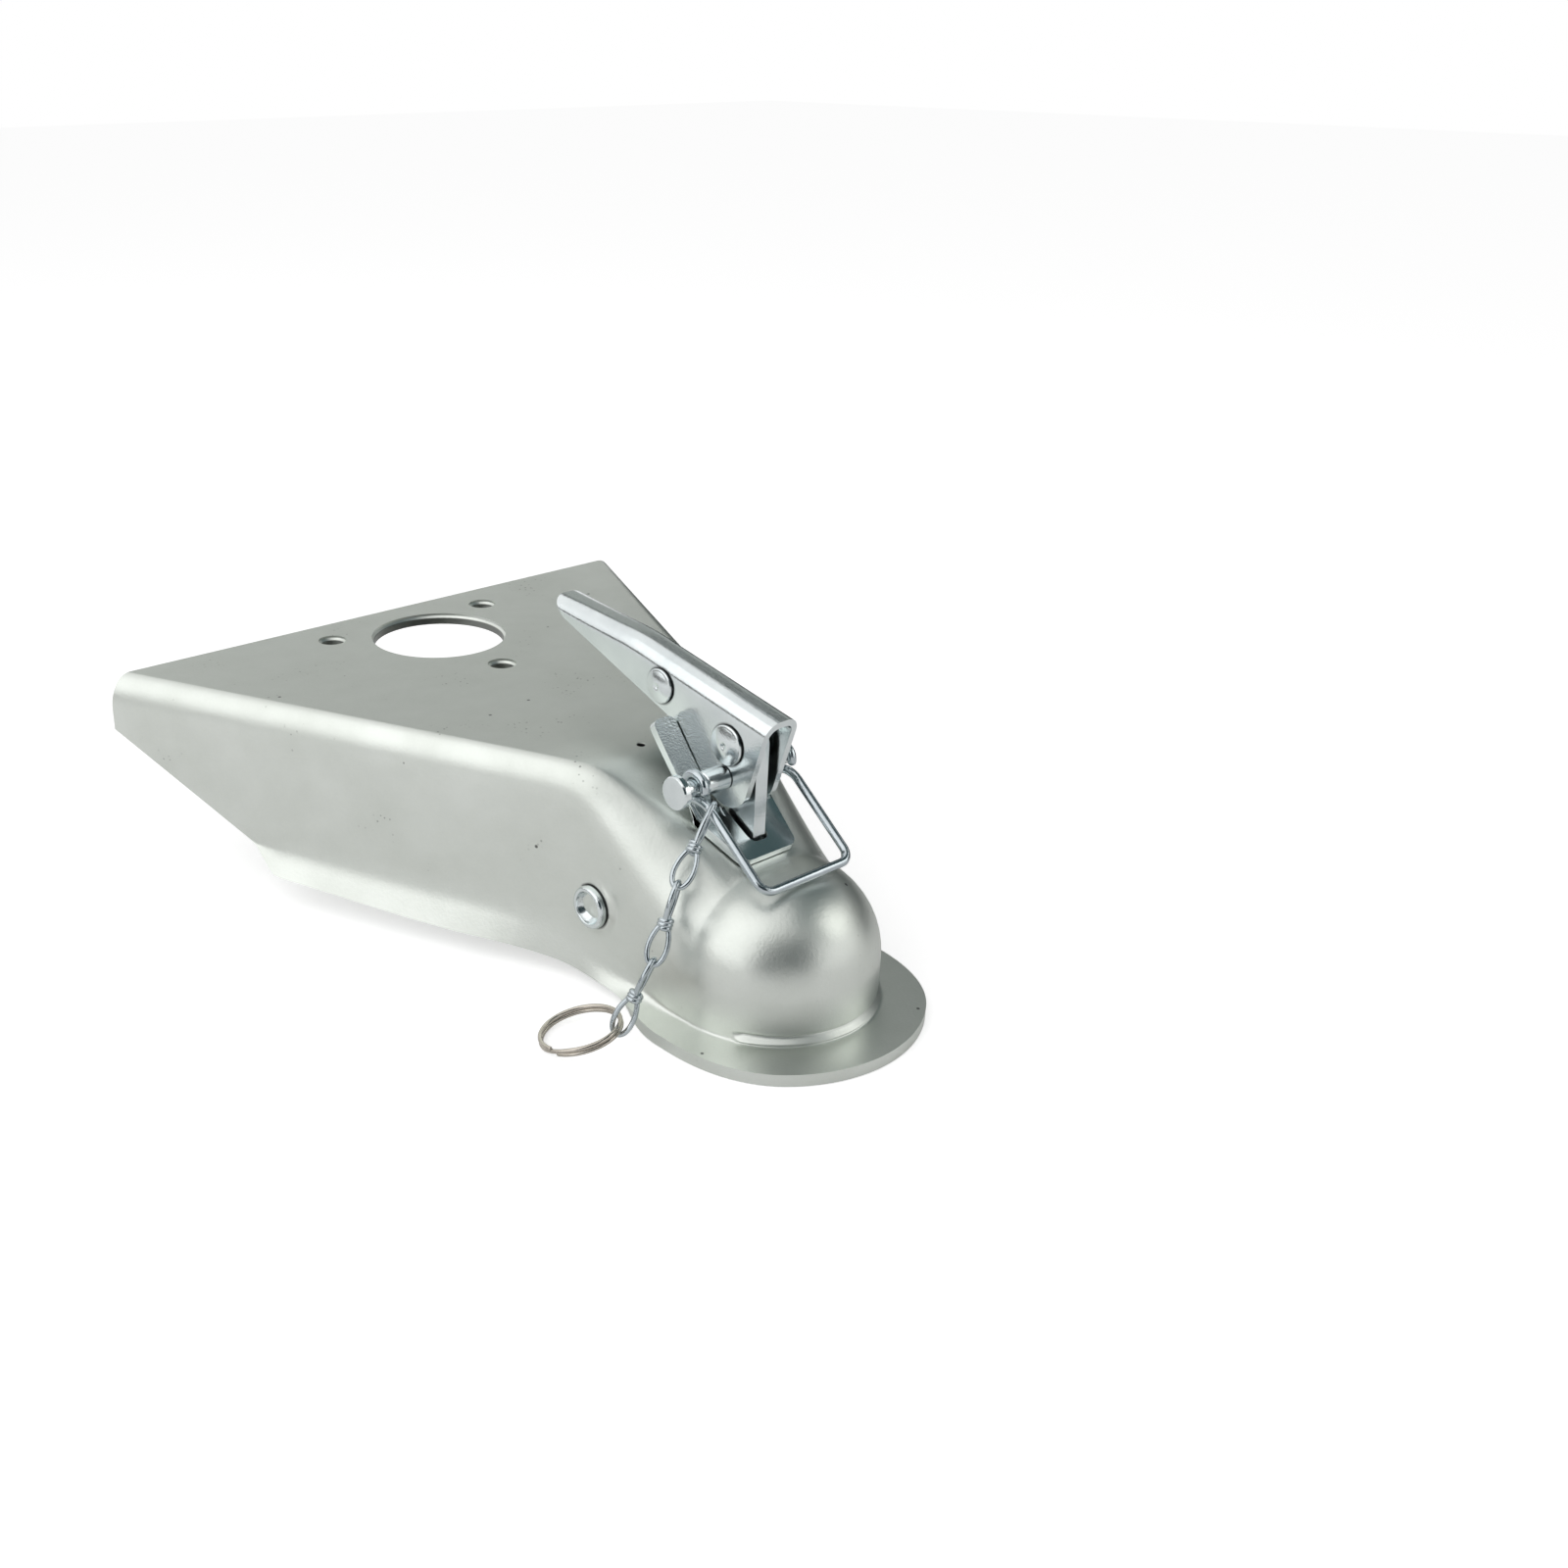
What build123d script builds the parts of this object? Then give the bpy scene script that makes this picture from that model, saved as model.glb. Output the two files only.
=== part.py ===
"""A-frame trailer coupling head: a stamped housing over a tow ball, with an over-centre lever latch,
a ball clamp, a lock pin with its wire bail, and a short chain with a split ring.

Millimetres. The origin is the centre of the tow ball. +Z is up, -Y points ahead of the trailer,
and the housing is the same on both sides of X = 0."""
import os
from math import atan2, cos, hypot, radians, sin, sqrt, tan

from build123d import *

# Tow ball and stamped sheet
BALL_DIAMETER = 58.74
BALL_CLEARANCE = 0.5
SHEET = 4.8

# Dome over the ball, its root bead and its flange
FLANGE_DEPTH = 22.0
FLANGE_RADIUS = 59.0
DOME_RADIUS = 41.0
DOME_FLAT = 7.0
BEAD_RADIUS = 2.6
BEAD_HEIGHT = 5.6
WAIST_Y = 32.0
WAIST_REACH = 5.0

# Hood: flat top over the trailer's tongue with two folded walls that spread like the tongue
A_FRAME_ANGLE = 25.0
PLATE_HEIGHT = 65.0
REAR_Y = 257.0
SHOULDER_Y = 57.0
SHOULDER_HALF_WIDTH = 45.2
FOLD_RADIUS = 8.0
WALL_FOOT = 2.0
REAR_WALL_DROP = 16.0
REAR_CUT_Y = 180.0

# Flared lip along the foot of each wall
LIP_REACH = 8.0
LIP_REACH_FRONT = 4.0
LIP_DROP_FRONT = 20.0
LIP_DROP_REAR = 10.0
LIP_RUNOUT = 12.0

# Tongue jack hole and its bolts
JACK_HOLE_Y = 213.5
JACK_HOLE_DIAMETER = 58.0
JACK_BOLT_CIRCLE = 95.0
JACK_BOLT_HOLE = 10.3
JACK_BOLTS = 3
DRAIN_HOLE = 3.0
DRAIN_HOLE_X = -11.5
DRAIN_HOLE_Y = 62.0

# Saddle: bent plate on the neck, slotted for the link, with two wings behind the lever
SADDLE_SHEET = 3.2
SADDLE_HALF_WIDTH = 12.5
SADDLE_FRONT_Y = 3.0
SADDLE_HEEL_Y = 23.0
WING_HALF_WIDTH = 19.0
WING_TOP_Y = 50.0
WING_TOP_Z = 79.0
SADDLE_BEND_RADIUS = 7.0

# Lever: inverted channel folded from sheet, measured from its pivot
LEVER_SHEET = 2.6
LEVER_HALF_WIDTH = 8.2
LEVER_PIVOT_Y = 18.6
LEVER_PIVOT_Z = 78.0
LEVER_FRONT_RISE = 13.5
LEVER_BEND_Y = 74.0
LEVER_BEND_RISE = 27.0
LEVER_BEND_RADIUS = 150.0
LEVER_TIP_Y = 121.0
LEVER_TIP_RISE = 30.5
LEVER_TIP_DEPTH = 7.0
LEVER_NOSE_REACH = 19.5
LEVER_NOSE_LEAN = 12.1
LEVER_NOSE_DROP = 26.7
LEVER_NOSE_RADIUS = 10.0
LEVER_LOBE_BACK = 16.3
LEVER_LOBE_DROP = 19.4
LEVER_LOBE_RADIUS = 4.0
LEVER_HEEL_BACK = 31.8
LEVER_HEEL_RISE = 1.3
GRIP_LIP = 7.0
GRIP_CUT_Y = 72.0
SPINE_RADIUS = 5.0

# Rivets
RIVET_DIAMETER = 8.0
RIVET_HEAD_DIAMETER = 12.0
RIVET_HEAD_HEIGHT = 2.6
GRIP_RIVET_DIAMETER = 7.0
GRIP_HEAD_DIAMETER = 11.0
GRIP_RIVET_BACK = 36.6
GRIP_RIVET_RISE = 12.0

# Draw link
LINK_THICKNESS = 6.0
LINK_EYE_RADIUS = 10.0
LINK_LENGTH = 46.0
LINK_SLOT_CLEARANCE = 1.6
LINK_PIN_DIAMETER = 7.0
LINK_SLOT_TRAVEL = 2.2
LINK_TOE_WALL = 2.4

# Ball clamp and its cross rivet
CLAMP_PIVOT_Y = 49.0
CLAMP_PIVOT_Z = 12.0
CLAMP_PIN_DIAMETER = 12.0
CLAMP_HALF_WIDTH = 11.0
CLAMP_HUB_RADIUS = 11.0
CLAMP_JAW_DEPTH = 17.0
CLAMP_ARM_RADIUS = 6.0
CROSS_HEAD_DIAMETER = 17.0
CROSS_HEAD_HEIGHT = 3.6
CROSS_HEAD_DISH = 10.0
BOSS_MARGIN = 0.8
SPACER_WALL = 2.5

# Lock pin and bail
LOCK_PIN_DIAMETER = 6.4
LOCK_PIN_DROP = 13.0
LOCK_PIN_BACK = 1.5
LOCK_HEAD_DIAMETER = 13.0
LOCK_HEAD_THICKNESS = 3.2
LOCK_HEAD_X = -29.5
LOCK_TIP_X = 27.0
BAIL_WIRE = 2.6
BAIL_HALF_WIDTH = 22.2
BAIL_REACH = 37.0
BAIL_FALL = 28.5
BAIL_CORNER = 5.0

# Chain and ring
CHAIN_WIRE = 1.6
CHAIN_LOOP_WIDTH = 8.6
CHAIN_LINK_LENGTH = 29.0
CHAIN_GRIP = 0.95
CHAIN_BAIL_GRIP = 3.2
CHAIN_KNOT_DIAMETER = 5.6
CHAIN_KNOT_LENGTH = 5.0
CHAIN_HANG_ALONG_BAIL = 11.0
CHAIN_ANGLES = ((42.0, -12.0), (26.0, -8.0), (28.0, 15.0))
RING_DIAMETER = 28.0
RING_WIRE = 1.7
RING_TURN_GAP = 0.1
RING_HEADING = 52.0
RING_SEAT = 3.4

# Running clearances
SHAFT_CLEARANCE = 0.05
SIDE_CLEARANCE = 0.5
HOLE_CLEARANCE = 0.3

BALL_RADIUS = BALL_DIAMETER / 2
DOME_TOP = BALL_RADIUS + BALL_CLEARANCE + SHEET
FLOOR = -FLANGE_DEPTH
SPREAD = tan(radians(A_FRAME_ANGLE))
REAR_HALF_WIDTH = SHOULDER_HALF_WIDTH + (REAR_Y - SHOULDER_Y) * SPREAD
NECK_SLOPE = (PLATE_HEIGHT - DOME_TOP) / SHOULDER_Y
LOCK_Y = LEVER_PIVOT_Y + LOCK_PIN_BACK
LOCK_Z = LEVER_PIVOT_Z - LOCK_PIN_DROP


def neck_height(y):
    """Height of the neck's outer face, a straight slope from the dome's top to the hood's shoulder."""
    return DOME_TOP + NECK_SLOPE * y


def wall_half_width(y):
    """Half width over the outside of the folded walls."""
    return REAR_HALF_WIDTH - (REAR_Y - y) * SPREAD


def across(y):
    """Plane square to the trailer's axis at y, drawn on as (X, Z)."""
    return Plane(origin=(0, y, 0), x_dir=(1, 0, 0), z_dir=(0, -1, 0))


def upright(half_width, profile):
    """Carry a (Y, Z) profile to both sides of X = 0."""
    return extrude(Plane.YZ * profile, amount=half_width, both=True)


def cross_bar(radius, x_from, x_to, y, z):
    """Round bar along X."""
    bar = Solid.make_cylinder(radius, x_to - x_from, Plane(origin=(x_from, y, z), z_dir=(1, 0, 0)))
    return bar


def arch(y, half_width, top, corner, foot):
    """Section of the stamping: a flat top, two rounded folds and two upright walls."""
    outline = Pos(0, foot) * Rectangle(2 * half_width, top - foot, align=(Align.CENTER, Align.MIN))
    folds = outline.vertices().sort_by(Axis.Y)[-2:]
    return across(y) * fillet(folds, corner)


def stamping_form(inset, foot):
    """Hood, neck and dome as one filled form, drawn in by inset from the outside of the sheet."""
    kink = inset * tan(atan2(NECK_SLOPE, 1) / 2)
    side = inset / cos(radians(A_FRAME_ANGLE))
    front = SHOULDER_Y + kink
    rear = REAR_Y + inset
    front_half = wall_half_width(front) - side
    rear_half = wall_half_width(rear) - side
    corners = [(-front_half, front), (front_half, front), (rear_half, rear), (-rear_half, rear)]
    plan = Polyline(*corners, close=True)
    hood = Pos(0, 0, foot) * extrude(make_face(plan), PLATE_HEIGHT - inset - foot)
    top_edges = hood.edges().group_by(Axis.Z)[-1]
    hood = fillet([edge for edge in top_edges if front < edge.center().Y < rear], FOLD_RADIUS - inset)
    shoulder = hood.faces().sort_by(Axis.Y)[0]
    radius = DOME_RADIUS - inset
    top = DOME_TOP - inset
    crown = arch(0, radius, top, radius - DOME_FLAT, foot)
    half = crown.faces()[0] & (across(0) * Pos(radius, 0) * Rectangle(2 * radius, 8 * radius))
    dome = revolve(half, Axis.Z, 360)
    return hood + loft([shoulder, crown]) + dome


def wall_lip(side):
    """Flared lip along the foot of one wall, deeper towards the dome."""
    thick = SHEET / cos(radians(A_FRAME_ANGLE))
    sections = []
    for y, drop, reach in (
        (SHOULDER_Y, LIP_DROP_FRONT, LIP_REACH_FRONT),
        (REAR_CUT_Y + LIP_RUNOUT, LIP_DROP_REAR, LIP_REACH),
    ):
        out = wall_half_width(y)
        points = [
            (side * (out - thick), WALL_FOOT),
            (side * out, WALL_FOOT),
            (side * (out + reach), WALL_FOOT - drop),
            (side * (out + reach - thick), WALL_FOOT - drop),
        ]
        sections.append(across(y) * make_face(Polyline(*points, close=True)))
    return loft(sections)


def housing():
    """The stamped housing with its flange, lips and holes."""
    body = stamping_form(0, FLOOR)
    rear_gap = 2 * REAR_HALF_WIDTH + 4 * LIP_REACH
    below = Polyline(
        (SHOULDER_Y, FLOOR - SHEET),
        (SHOULDER_Y, WALL_FOOT),
        (REAR_Y + SHEET, WALL_FOOT),
        (REAR_Y + SHEET, FLOOR - SHEET),
        close=True,
    )
    body -= upright(rear_gap, make_face(below))
    for side in (1, -1):
        body += wall_lip(side)
    ahead = Pos(0, -FLANGE_RADIUS) * Rectangle(4 * FLANGE_RADIUS, 2 * FLANGE_RADIUS)
    flange = Circle(FLANGE_RADIUS) & ahead
    waist = Polyline(
        (-FLANGE_RADIUS, 0),
        (FLANGE_RADIUS, 0),
        (neck_half_width(WAIST_Y) + WAIST_REACH, WAIST_Y),
        (SHOULDER_HALF_WIDTH + LIP_REACH_FRONT, SHOULDER_Y),
        (-SHOULDER_HALF_WIDTH - LIP_REACH_FRONT, SHOULDER_Y),
        (-neck_half_width(WAIST_Y) - WAIST_REACH, WAIST_Y),
        close=True,
    )
    flange += make_face(waist)
    body += Pos(0, 0, FLOOR) * extrude(flange, SHEET)
    bead = Pos(DOME_RADIUS, FLOOR + BEAD_HEIGHT) * Circle(BEAD_RADIUS)
    body += revolve(across(0) * bead, Axis.Z, 360)
    boss = CROSS_HEAD_DIAMETER / 2 + BOSS_MARGIN
    body += cross_bar(boss, -boss_half_width(), boss_half_width(), CLAMP_PIVOT_Y, CLAMP_PIVOT_Z)
    body -= stamping_form(SHEET, FLOOR - SHEET)
    slant = Polyline(
        (REAR_CUT_Y, FLOOR - SHEET),
        (REAR_CUT_Y, WALL_FOOT - LIP_DROP_REAR),
        (REAR_Y, PLATE_HEIGHT - FOLD_RADIUS - REAR_WALL_DROP),
        (REAR_Y + SHEET, PLATE_HEIGHT - FOLD_RADIUS - REAR_WALL_DROP),
        (REAR_Y + SHEET, FLOOR - SHEET),
        close=True,
    )
    body -= upright(rear_gap, make_face(slant))
    through = PLATE_HEIGHT - 2 * SHEET
    holes = Pos(0, JACK_HOLE_Y) * Circle(JACK_HOLE_DIAMETER / 2)
    for bolt in range(JACK_BOLTS):
        turn = radians(-90 + 360 * bolt / JACK_BOLTS)
        reach = JACK_BOLT_CIRCLE / 2
        holes += Pos(reach * cos(turn), JACK_HOLE_Y + reach * sin(turn)) * Circle(JACK_BOLT_HOLE / 2)
    holes += Pos(DRAIN_HOLE_X, DRAIN_HOLE_Y) * Circle(DRAIN_HOLE / 2)
    body -= Pos(0, 0, through) * extrude(holes, 3 * SHEET)
    body -= Pos(0, 0, DOME_TOP - 2 * SHEET) * extrude(link_slot(), PLATE_HEIGHT)
    body -= upright(CLAMP_HALF_WIDTH + SIDE_CLEARANCE, clamp_arm(HOLE_CLEARANCE))
    reach = 2 * SHOULDER_HALF_WIDTH
    return body - cross_bar(CLAMP_PIN_DIAMETER / 2, -reach, reach, CLAMP_PIVOT_Y, CLAMP_PIVOT_Z)


def link_slot():
    """Slot that the draw link passes through, seen from above."""
    length = 2 * (LINK_EYE_RADIUS + LINK_SLOT_CLEARANCE)
    width = LINK_THICKNESS + 2 * LINK_SLOT_CLEARANCE
    return Pos(0, LEVER_PIVOT_Y) * Rectangle(width, length)


def saddle():
    """Bent plate: a slotted foot on the neck and two wings that stand up behind it."""
    foot = (SADDLE_FRONT_Y, neck_height(SADDLE_FRONT_Y))
    heel = (SADDLE_HEEL_Y, neck_height(SADDLE_HEEL_Y))
    crest = (WING_TOP_Y, WING_TOP_Z)
    foot_turn = atan2(heel[1] - foot[1], heel[0] - foot[0])
    wing_turn = atan2(crest[1] - heel[1], crest[0] - heel[0])
    half = (foot_turn + wing_turn) / 2
    miter = SADDLE_SHEET / cos((wing_turn - foot_turn) / 2)
    above_foot = (foot[0] - SADDLE_SHEET * sin(foot_turn), foot[1] + SADDLE_SHEET * cos(foot_turn))
    above_heel = (heel[0] - miter * sin(half), heel[1] + miter * cos(half))
    above_crest = (crest[0] - SADDLE_SHEET * sin(wing_turn), crest[1] + SADDLE_SHEET * cos(wing_turn))
    strip = make_face(Polyline(foot, heel, crest, above_crest, above_heel, above_foot, close=True))
    inner = strip.vertices().sort_by_distance((above_heel[0], above_heel[1], 0))[0]
    strip = fillet(inner, SADDLE_BEND_RADIUS)
    outer = strip.vertices().sort_by_distance((heel[0], heel[1], 0))[0]
    strip = fillet(outer, SADDLE_BEND_RADIUS + SADDLE_SHEET)
    plate = upright(WING_HALF_WIDTH, strip)
    outline = Polyline(
        (-SADDLE_HALF_WIDTH, 0),
        (SADDLE_HALF_WIDTH, 0),
        (WING_HALF_WIDTH, SADDLE_HEEL_Y),
        (WING_HALF_WIDTH, WING_TOP_Y + SADDLE_SHEET),
        (-WING_HALF_WIDTH, WING_TOP_Y + SADDLE_SHEET),
        (-WING_HALF_WIDTH, SADDLE_HEEL_Y),
        close=True,
    )
    plate &= extrude(make_face(outline), 2 * PLATE_HEIGHT)
    gap = LEVER_HALF_WIDTH + SIDE_CLEARANCE
    slots = link_slot() + Pos(0, SADDLE_HEEL_Y + WING_TOP_Y) * Rectangle(2 * gap, 2 * WING_TOP_Y)
    return plate - extrude(slots, 2 * PLATE_HEIGHT)


def on_lever(back, rise):
    """Point on the lever, measured from its pivot."""
    return (LEVER_PIVOT_Y + back, LEVER_PIVOT_Z + rise)


def spine_line(drop):
    """Top line of the lever from its nose to its tip, drop below the outside of the fold."""
    return [
        on_lever(-LEVER_NOSE_REACH, LEVER_FRONT_RISE - drop),
        (LEVER_BEND_Y, LEVER_PIVOT_Z + LEVER_BEND_RISE - drop),
        (LEVER_TIP_Y, LEVER_PIVOT_Z + LEVER_TIP_RISE - drop),
    ]


def lever():
    """Handle folded from sheet: a spine, a full wall on one side and a cut-back wall on the other."""
    spine = spine_line(0)
    nose = on_lever(-LEVER_NOSE_REACH + LEVER_NOSE_LEAN, -LEVER_NOSE_DROP)
    lobe = on_lever(LEVER_LOBE_BACK, -LEVER_LOBE_DROP)
    heel = on_lever(LEVER_HEEL_BACK, LEVER_HEEL_RISE)
    tip = (LEVER_TIP_Y - LEVER_TIP_DEPTH, spine[2][1] - LEVER_TIP_DEPTH)
    side = make_face(Polyline(*spine, tip, heel, lobe, nose, close=True))
    for corner, radius in (
        (spine[1], LEVER_BEND_RADIUS),
        (nose, LEVER_NOSE_RADIUS),
        (lobe, LEVER_LOBE_RADIUS),
        (heel, LEVER_LOBE_RADIUS),
    ):
        spot = side.vertices().sort_by_distance((corner[0], corner[1], 0))[0]
        side = fillet(spot, radius)
    shell = upright(LEVER_HALF_WIDTH, side)
    ridge = [
        edge
        for edge in shell.edges()
        if abs(abs(edge.center().X) - LEVER_HALF_WIDTH) < SHAFT_CLEARANCE
        and edge.center().Z > spine_height(edge.center().Y) - LEVER_SHEET
    ]
    shell = fillet(ridge, SPINE_RADIUS)
    under = spine_line(LEVER_SHEET)
    ahead = (under[0][0] - LEVER_NOSE_DROP, under[0][1])
    behind = (under[2][0] + LEVER_NOSE_DROP, under[2][1])
    low = heel[1] - LEVER_TIP_Y
    hollow = make_face(Polyline(ahead, *under, behind, (behind[0], low), (ahead[0], low), close=True))
    bend = hollow.vertices().sort_by_distance((under[1][0], under[1][1], 0))[0]
    hollow = fillet(bend, LEVER_BEND_RADIUS - LEVER_SHEET)
    shell -= upright(LEVER_HALF_WIDTH - LEVER_SHEET, hollow)
    grip_cut = spine_line(GRIP_LIP)
    window = Polyline(
        (GRIP_CUT_Y, LEVER_PIVOT_Z),
        (GRIP_CUT_Y + GRIP_LIP, grip_cut[1][1]),
        grip_cut[2],
        (LEVER_TIP_Y + GRIP_LIP, grip_cut[2][1]),
        (LEVER_TIP_Y + GRIP_LIP, LEVER_PIVOT_Z),
        close=True,
    )
    shell -= extrude(Plane.YZ * make_face(window), LEVER_HALF_WIDTH)
    for y, z, diameter in (
        (LEVER_PIVOT_Y, LEVER_PIVOT_Z, RIVET_DIAMETER),
        (*on_lever(GRIP_RIVET_BACK, GRIP_RIVET_RISE), GRIP_RIVET_DIAMETER),
        (LOCK_Y, LOCK_Z, LOCK_PIN_DIAMETER + 2 * SHAFT_CLEARANCE),
    ):
        shell -= cross_bar(diameter / 2, -2 * LEVER_HALF_WIDTH, 2 * LEVER_HALF_WIDTH, y, z)
    return shell


def spine_height(y):
    """Height of the lever's spine at y."""
    front, bend, tip = spine_line(0)
    start, end = (front, bend) if y < LEVER_BEND_Y else (bend, tip)
    return start[1] + (end[1] - start[1]) * (y - start[0]) / (end[0] - start[0])


def domed_rivet(diameter, head_diameter, y, z):
    """Round-headed rivet along X through the lever's walls."""
    shank = Cylinder(diameter / 2, 2 * LEVER_HALF_WIDTH)
    for end in (1, -1):
        head = extrude(Circle(head_diameter / 2), RIVET_HEAD_HEIGHT)
        head = fillet(head.edges().group_by(Axis.Z)[-1], RIVET_HEAD_HEIGHT * 0.8)
        head = Pos(0, 0, LEVER_HALF_WIDTH) * head
        shank += head if end == 1 else mirror(head, Plane.XY)
    return Plane(origin=(0, y, z), z_dir=(1, 0, 0)) * shank


def draw_link():
    """Flat bar with an eye on the lever's rivet and a slotted foot on the clamp's pin."""
    foot_z = LEVER_PIVOT_Z - LINK_LENGTH
    bar = Pos(LEVER_PIVOT_Y, LEVER_PIVOT_Z) * Circle(LINK_EYE_RADIUS)
    middle = (LEVER_PIVOT_Z + foot_z) / 2
    bar += Pos(LEVER_PIVOT_Y, middle) * Rectangle(2 * LINK_EYE_RADIUS, LINK_LENGTH)
    slot_width = LINK_PIN_DIAMETER + 2 * HOLE_CLEARANCE
    toe_width = slot_width + 2 * LINK_TOE_WALL
    toe = toe_width + 2 * LINK_SLOT_TRAVEL
    bar -= Pos(LEVER_PIVOT_Y, foot_z) * (Rectangle(4 * LINK_EYE_RADIUS, toe) - Rectangle(toe, toe))
    bar += Pos(LEVER_PIVOT_Y, foot_z) * SlotCenterToCenter(2 * LINK_SLOT_TRAVEL, toe_width)
    bar -= Pos(LEVER_PIVOT_Y, LEVER_PIVOT_Z) * Circle(RIVET_DIAMETER / 2 + SHAFT_CLEARANCE)
    bar -= Pos(LEVER_PIVOT_Y, foot_z) * SlotCenterToCenter(2 * LINK_SLOT_TRAVEL, slot_width)
    reach = hypot(LOCK_PIN_BACK, LOCK_PIN_DROP)
    half_gap = LOCK_PIN_DIAMETER / 2 + HOLE_CLEARANCE
    notch = Circle(reach + half_gap) - Circle(reach - half_gap)
    notch &= Pos(LOCK_PIN_BACK + LINK_LENGTH / 2, -LOCK_PIN_DROP) * Rectangle(LINK_LENGTH, 4 * LOCK_PIN_DROP)
    notch += Pos(LOCK_PIN_BACK, -LOCK_PIN_DROP) * Circle(half_gap)
    bar -= Pos(LEVER_PIVOT_Y, LEVER_PIVOT_Z) * notch
    return upright(LINK_THICKNESS / 2, bar)


def clamp_arm(margin):
    """Side view of the clamp's arm, from its hub on the cross rivet to the link's pin, with a margin round it."""
    hub = Pos(CLAMP_PIVOT_Y, CLAMP_PIVOT_Z) * Circle(CLAMP_HUB_RADIUS + margin)
    eye = Pos(LEVER_PIVOT_Y, LEVER_PIVOT_Z - LINK_LENGTH) * Circle(CLAMP_ARM_RADIUS + margin)
    return make_hull(hub.edges() + eye.edges())


def ball_clamp():
    """Clamp that swings on the cross rivet: an arm to the link and a jaw under the ball's rear."""
    pivot = (CLAMP_PIVOT_Y, CLAMP_PIVOT_Z)
    pin = (LEVER_PIVOT_Y, LEVER_PIVOT_Z - LINK_LENGTH)
    jaw_back = BALL_RADIUS + CLAMP_HUB_RADIUS
    jaw = make_face(
        Polyline(
            (CLAMP_PIVOT_Y, CLAMP_PIVOT_Z - CLAMP_HUB_RADIUS),
            (jaw_back, -CLAMP_JAW_DEPTH),
            (BALL_RADIUS * 0.6, -CLAMP_JAW_DEPTH),
            (BALL_RADIUS * 0.6, 0),
            (BALL_RADIUS, CLAMP_PIVOT_Z),
            (CLAMP_PIVOT_Y, CLAMP_PIVOT_Z + CLAMP_HUB_RADIUS / 2),
            close=True,
        )
    )
    body = upright(CLAMP_HALF_WIDTH, clamp_arm(0) + jaw)
    body -= Sphere(BALL_RADIUS + HOLE_CLEARANCE)
    fork = LINK_THICKNESS / 2 + SIDE_CLEARANCE
    length = 2 * (CLAMP_PIVOT_Y - LEVER_PIVOT_Y - CLAMP_HUB_RADIUS)
    tall = 4 * CLAMP_ARM_RADIUS
    body -= Pos(0, *pin) * Box(2 * fork, length, tall)
    body -= cross_bar(LINK_PIN_DIAMETER / 2, -2 * CLAMP_HALF_WIDTH, 2 * CLAMP_HALF_WIDTH, *pin)
    bore = CLAMP_PIN_DIAMETER / 2 + SHAFT_CLEARANCE
    return body - cross_bar(bore, -2 * CLAMP_HALF_WIDTH, 2 * CLAMP_HALF_WIDTH, *pivot)


def cross_rivet():
    """Rivet across the neck that the clamp swings on, with a dished head each side."""
    grip = boss_half_width()
    rivet = Cylinder(CLAMP_PIN_DIAMETER / 2, 2 * grip)
    for end in (1, -1):
        head = extrude(Circle(CROSS_HEAD_DIAMETER / 2), CROSS_HEAD_HEIGHT)
        head = fillet(head.edges().group_by(Axis.Z)[-1], CROSS_HEAD_HEIGHT * 0.6)
        dish = Cone(0.2 * CROSS_HEAD_DISH, CROSS_HEAD_DISH / 2, 0.7 * CROSS_HEAD_HEIGHT)
        head -= Pos(0, 0, CROSS_HEAD_HEIGHT - 0.35 * CROSS_HEAD_HEIGHT) * dish
        head = Pos(0, 0, grip) * head
        rivet += head if end == 1 else mirror(head, Plane.XY)
    return Plane(origin=(0, CLAMP_PIVOT_Y, CLAMP_PIVOT_Z), z_dir=(1, 0, 0)) * rivet


def neck_half_width(y):
    """Half width over the outside of the neck's walls."""
    return DOME_RADIUS + (SHOULDER_HALF_WIDTH - DOME_RADIUS) * y / SHOULDER_Y


def boss_half_width():
    """Half width over the flat bosses that the cross rivet's heads sit on."""
    reach = CROSS_HEAD_DIAMETER / 2
    widest = max(neck_half_width(CLAMP_PIVOT_Y - reach), neck_half_width(CLAMP_PIVOT_Y + reach))
    return widest + HOLE_CLEARANCE


def spacer(side):
    """Sleeve on the cross rivet between the clamp and the housing's wall."""
    start = CLAMP_HALF_WIDTH + SIDE_CLEARANCE
    wall = SHEET / cos(radians(A_FRAME_ANGLE))
    front = neck_half_width(CLAMP_PIVOT_Y - CLAMP_HUB_RADIUS)
    back = neck_half_width(CLAMP_PIVOT_Y + CLAMP_HUB_RADIUS)
    end = min(front, back) - wall - SIDE_CLEARANCE
    bore = CLAMP_PIN_DIAMETER / 2 + SHAFT_CLEARANCE
    ends = sorted((side * start, side * end))
    sleeve = cross_bar(bore + SPACER_WALL, *ends, CLAMP_PIVOT_Y, CLAMP_PIVOT_Z)
    return sleeve - cross_bar(bore, *ends, CLAMP_PIVOT_Y, CLAMP_PIVOT_Z)


def lock_pin():
    """Lock pin through the lever, with a flat round head and a chamfered tip."""
    pin = extrude(Circle(LOCK_PIN_DIAMETER / 2), LOCK_TIP_X - LOCK_HEAD_X)
    pin = chamfer(pin.edges().group_by(Axis.Z)[-1], LOCK_PIN_DIAMETER / 5)
    head = extrude(Circle(LOCK_HEAD_DIAMETER / 2), -LOCK_HEAD_THICKNESS)
    head = fillet(head.edges().group_by(Axis.Z)[0], LOCK_HEAD_THICKNESS / 3)
    return Plane(origin=(LOCK_HEAD_X, LOCK_Y, LOCK_Z), z_dir=(1, 0, 0)) * (pin + head)


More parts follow.
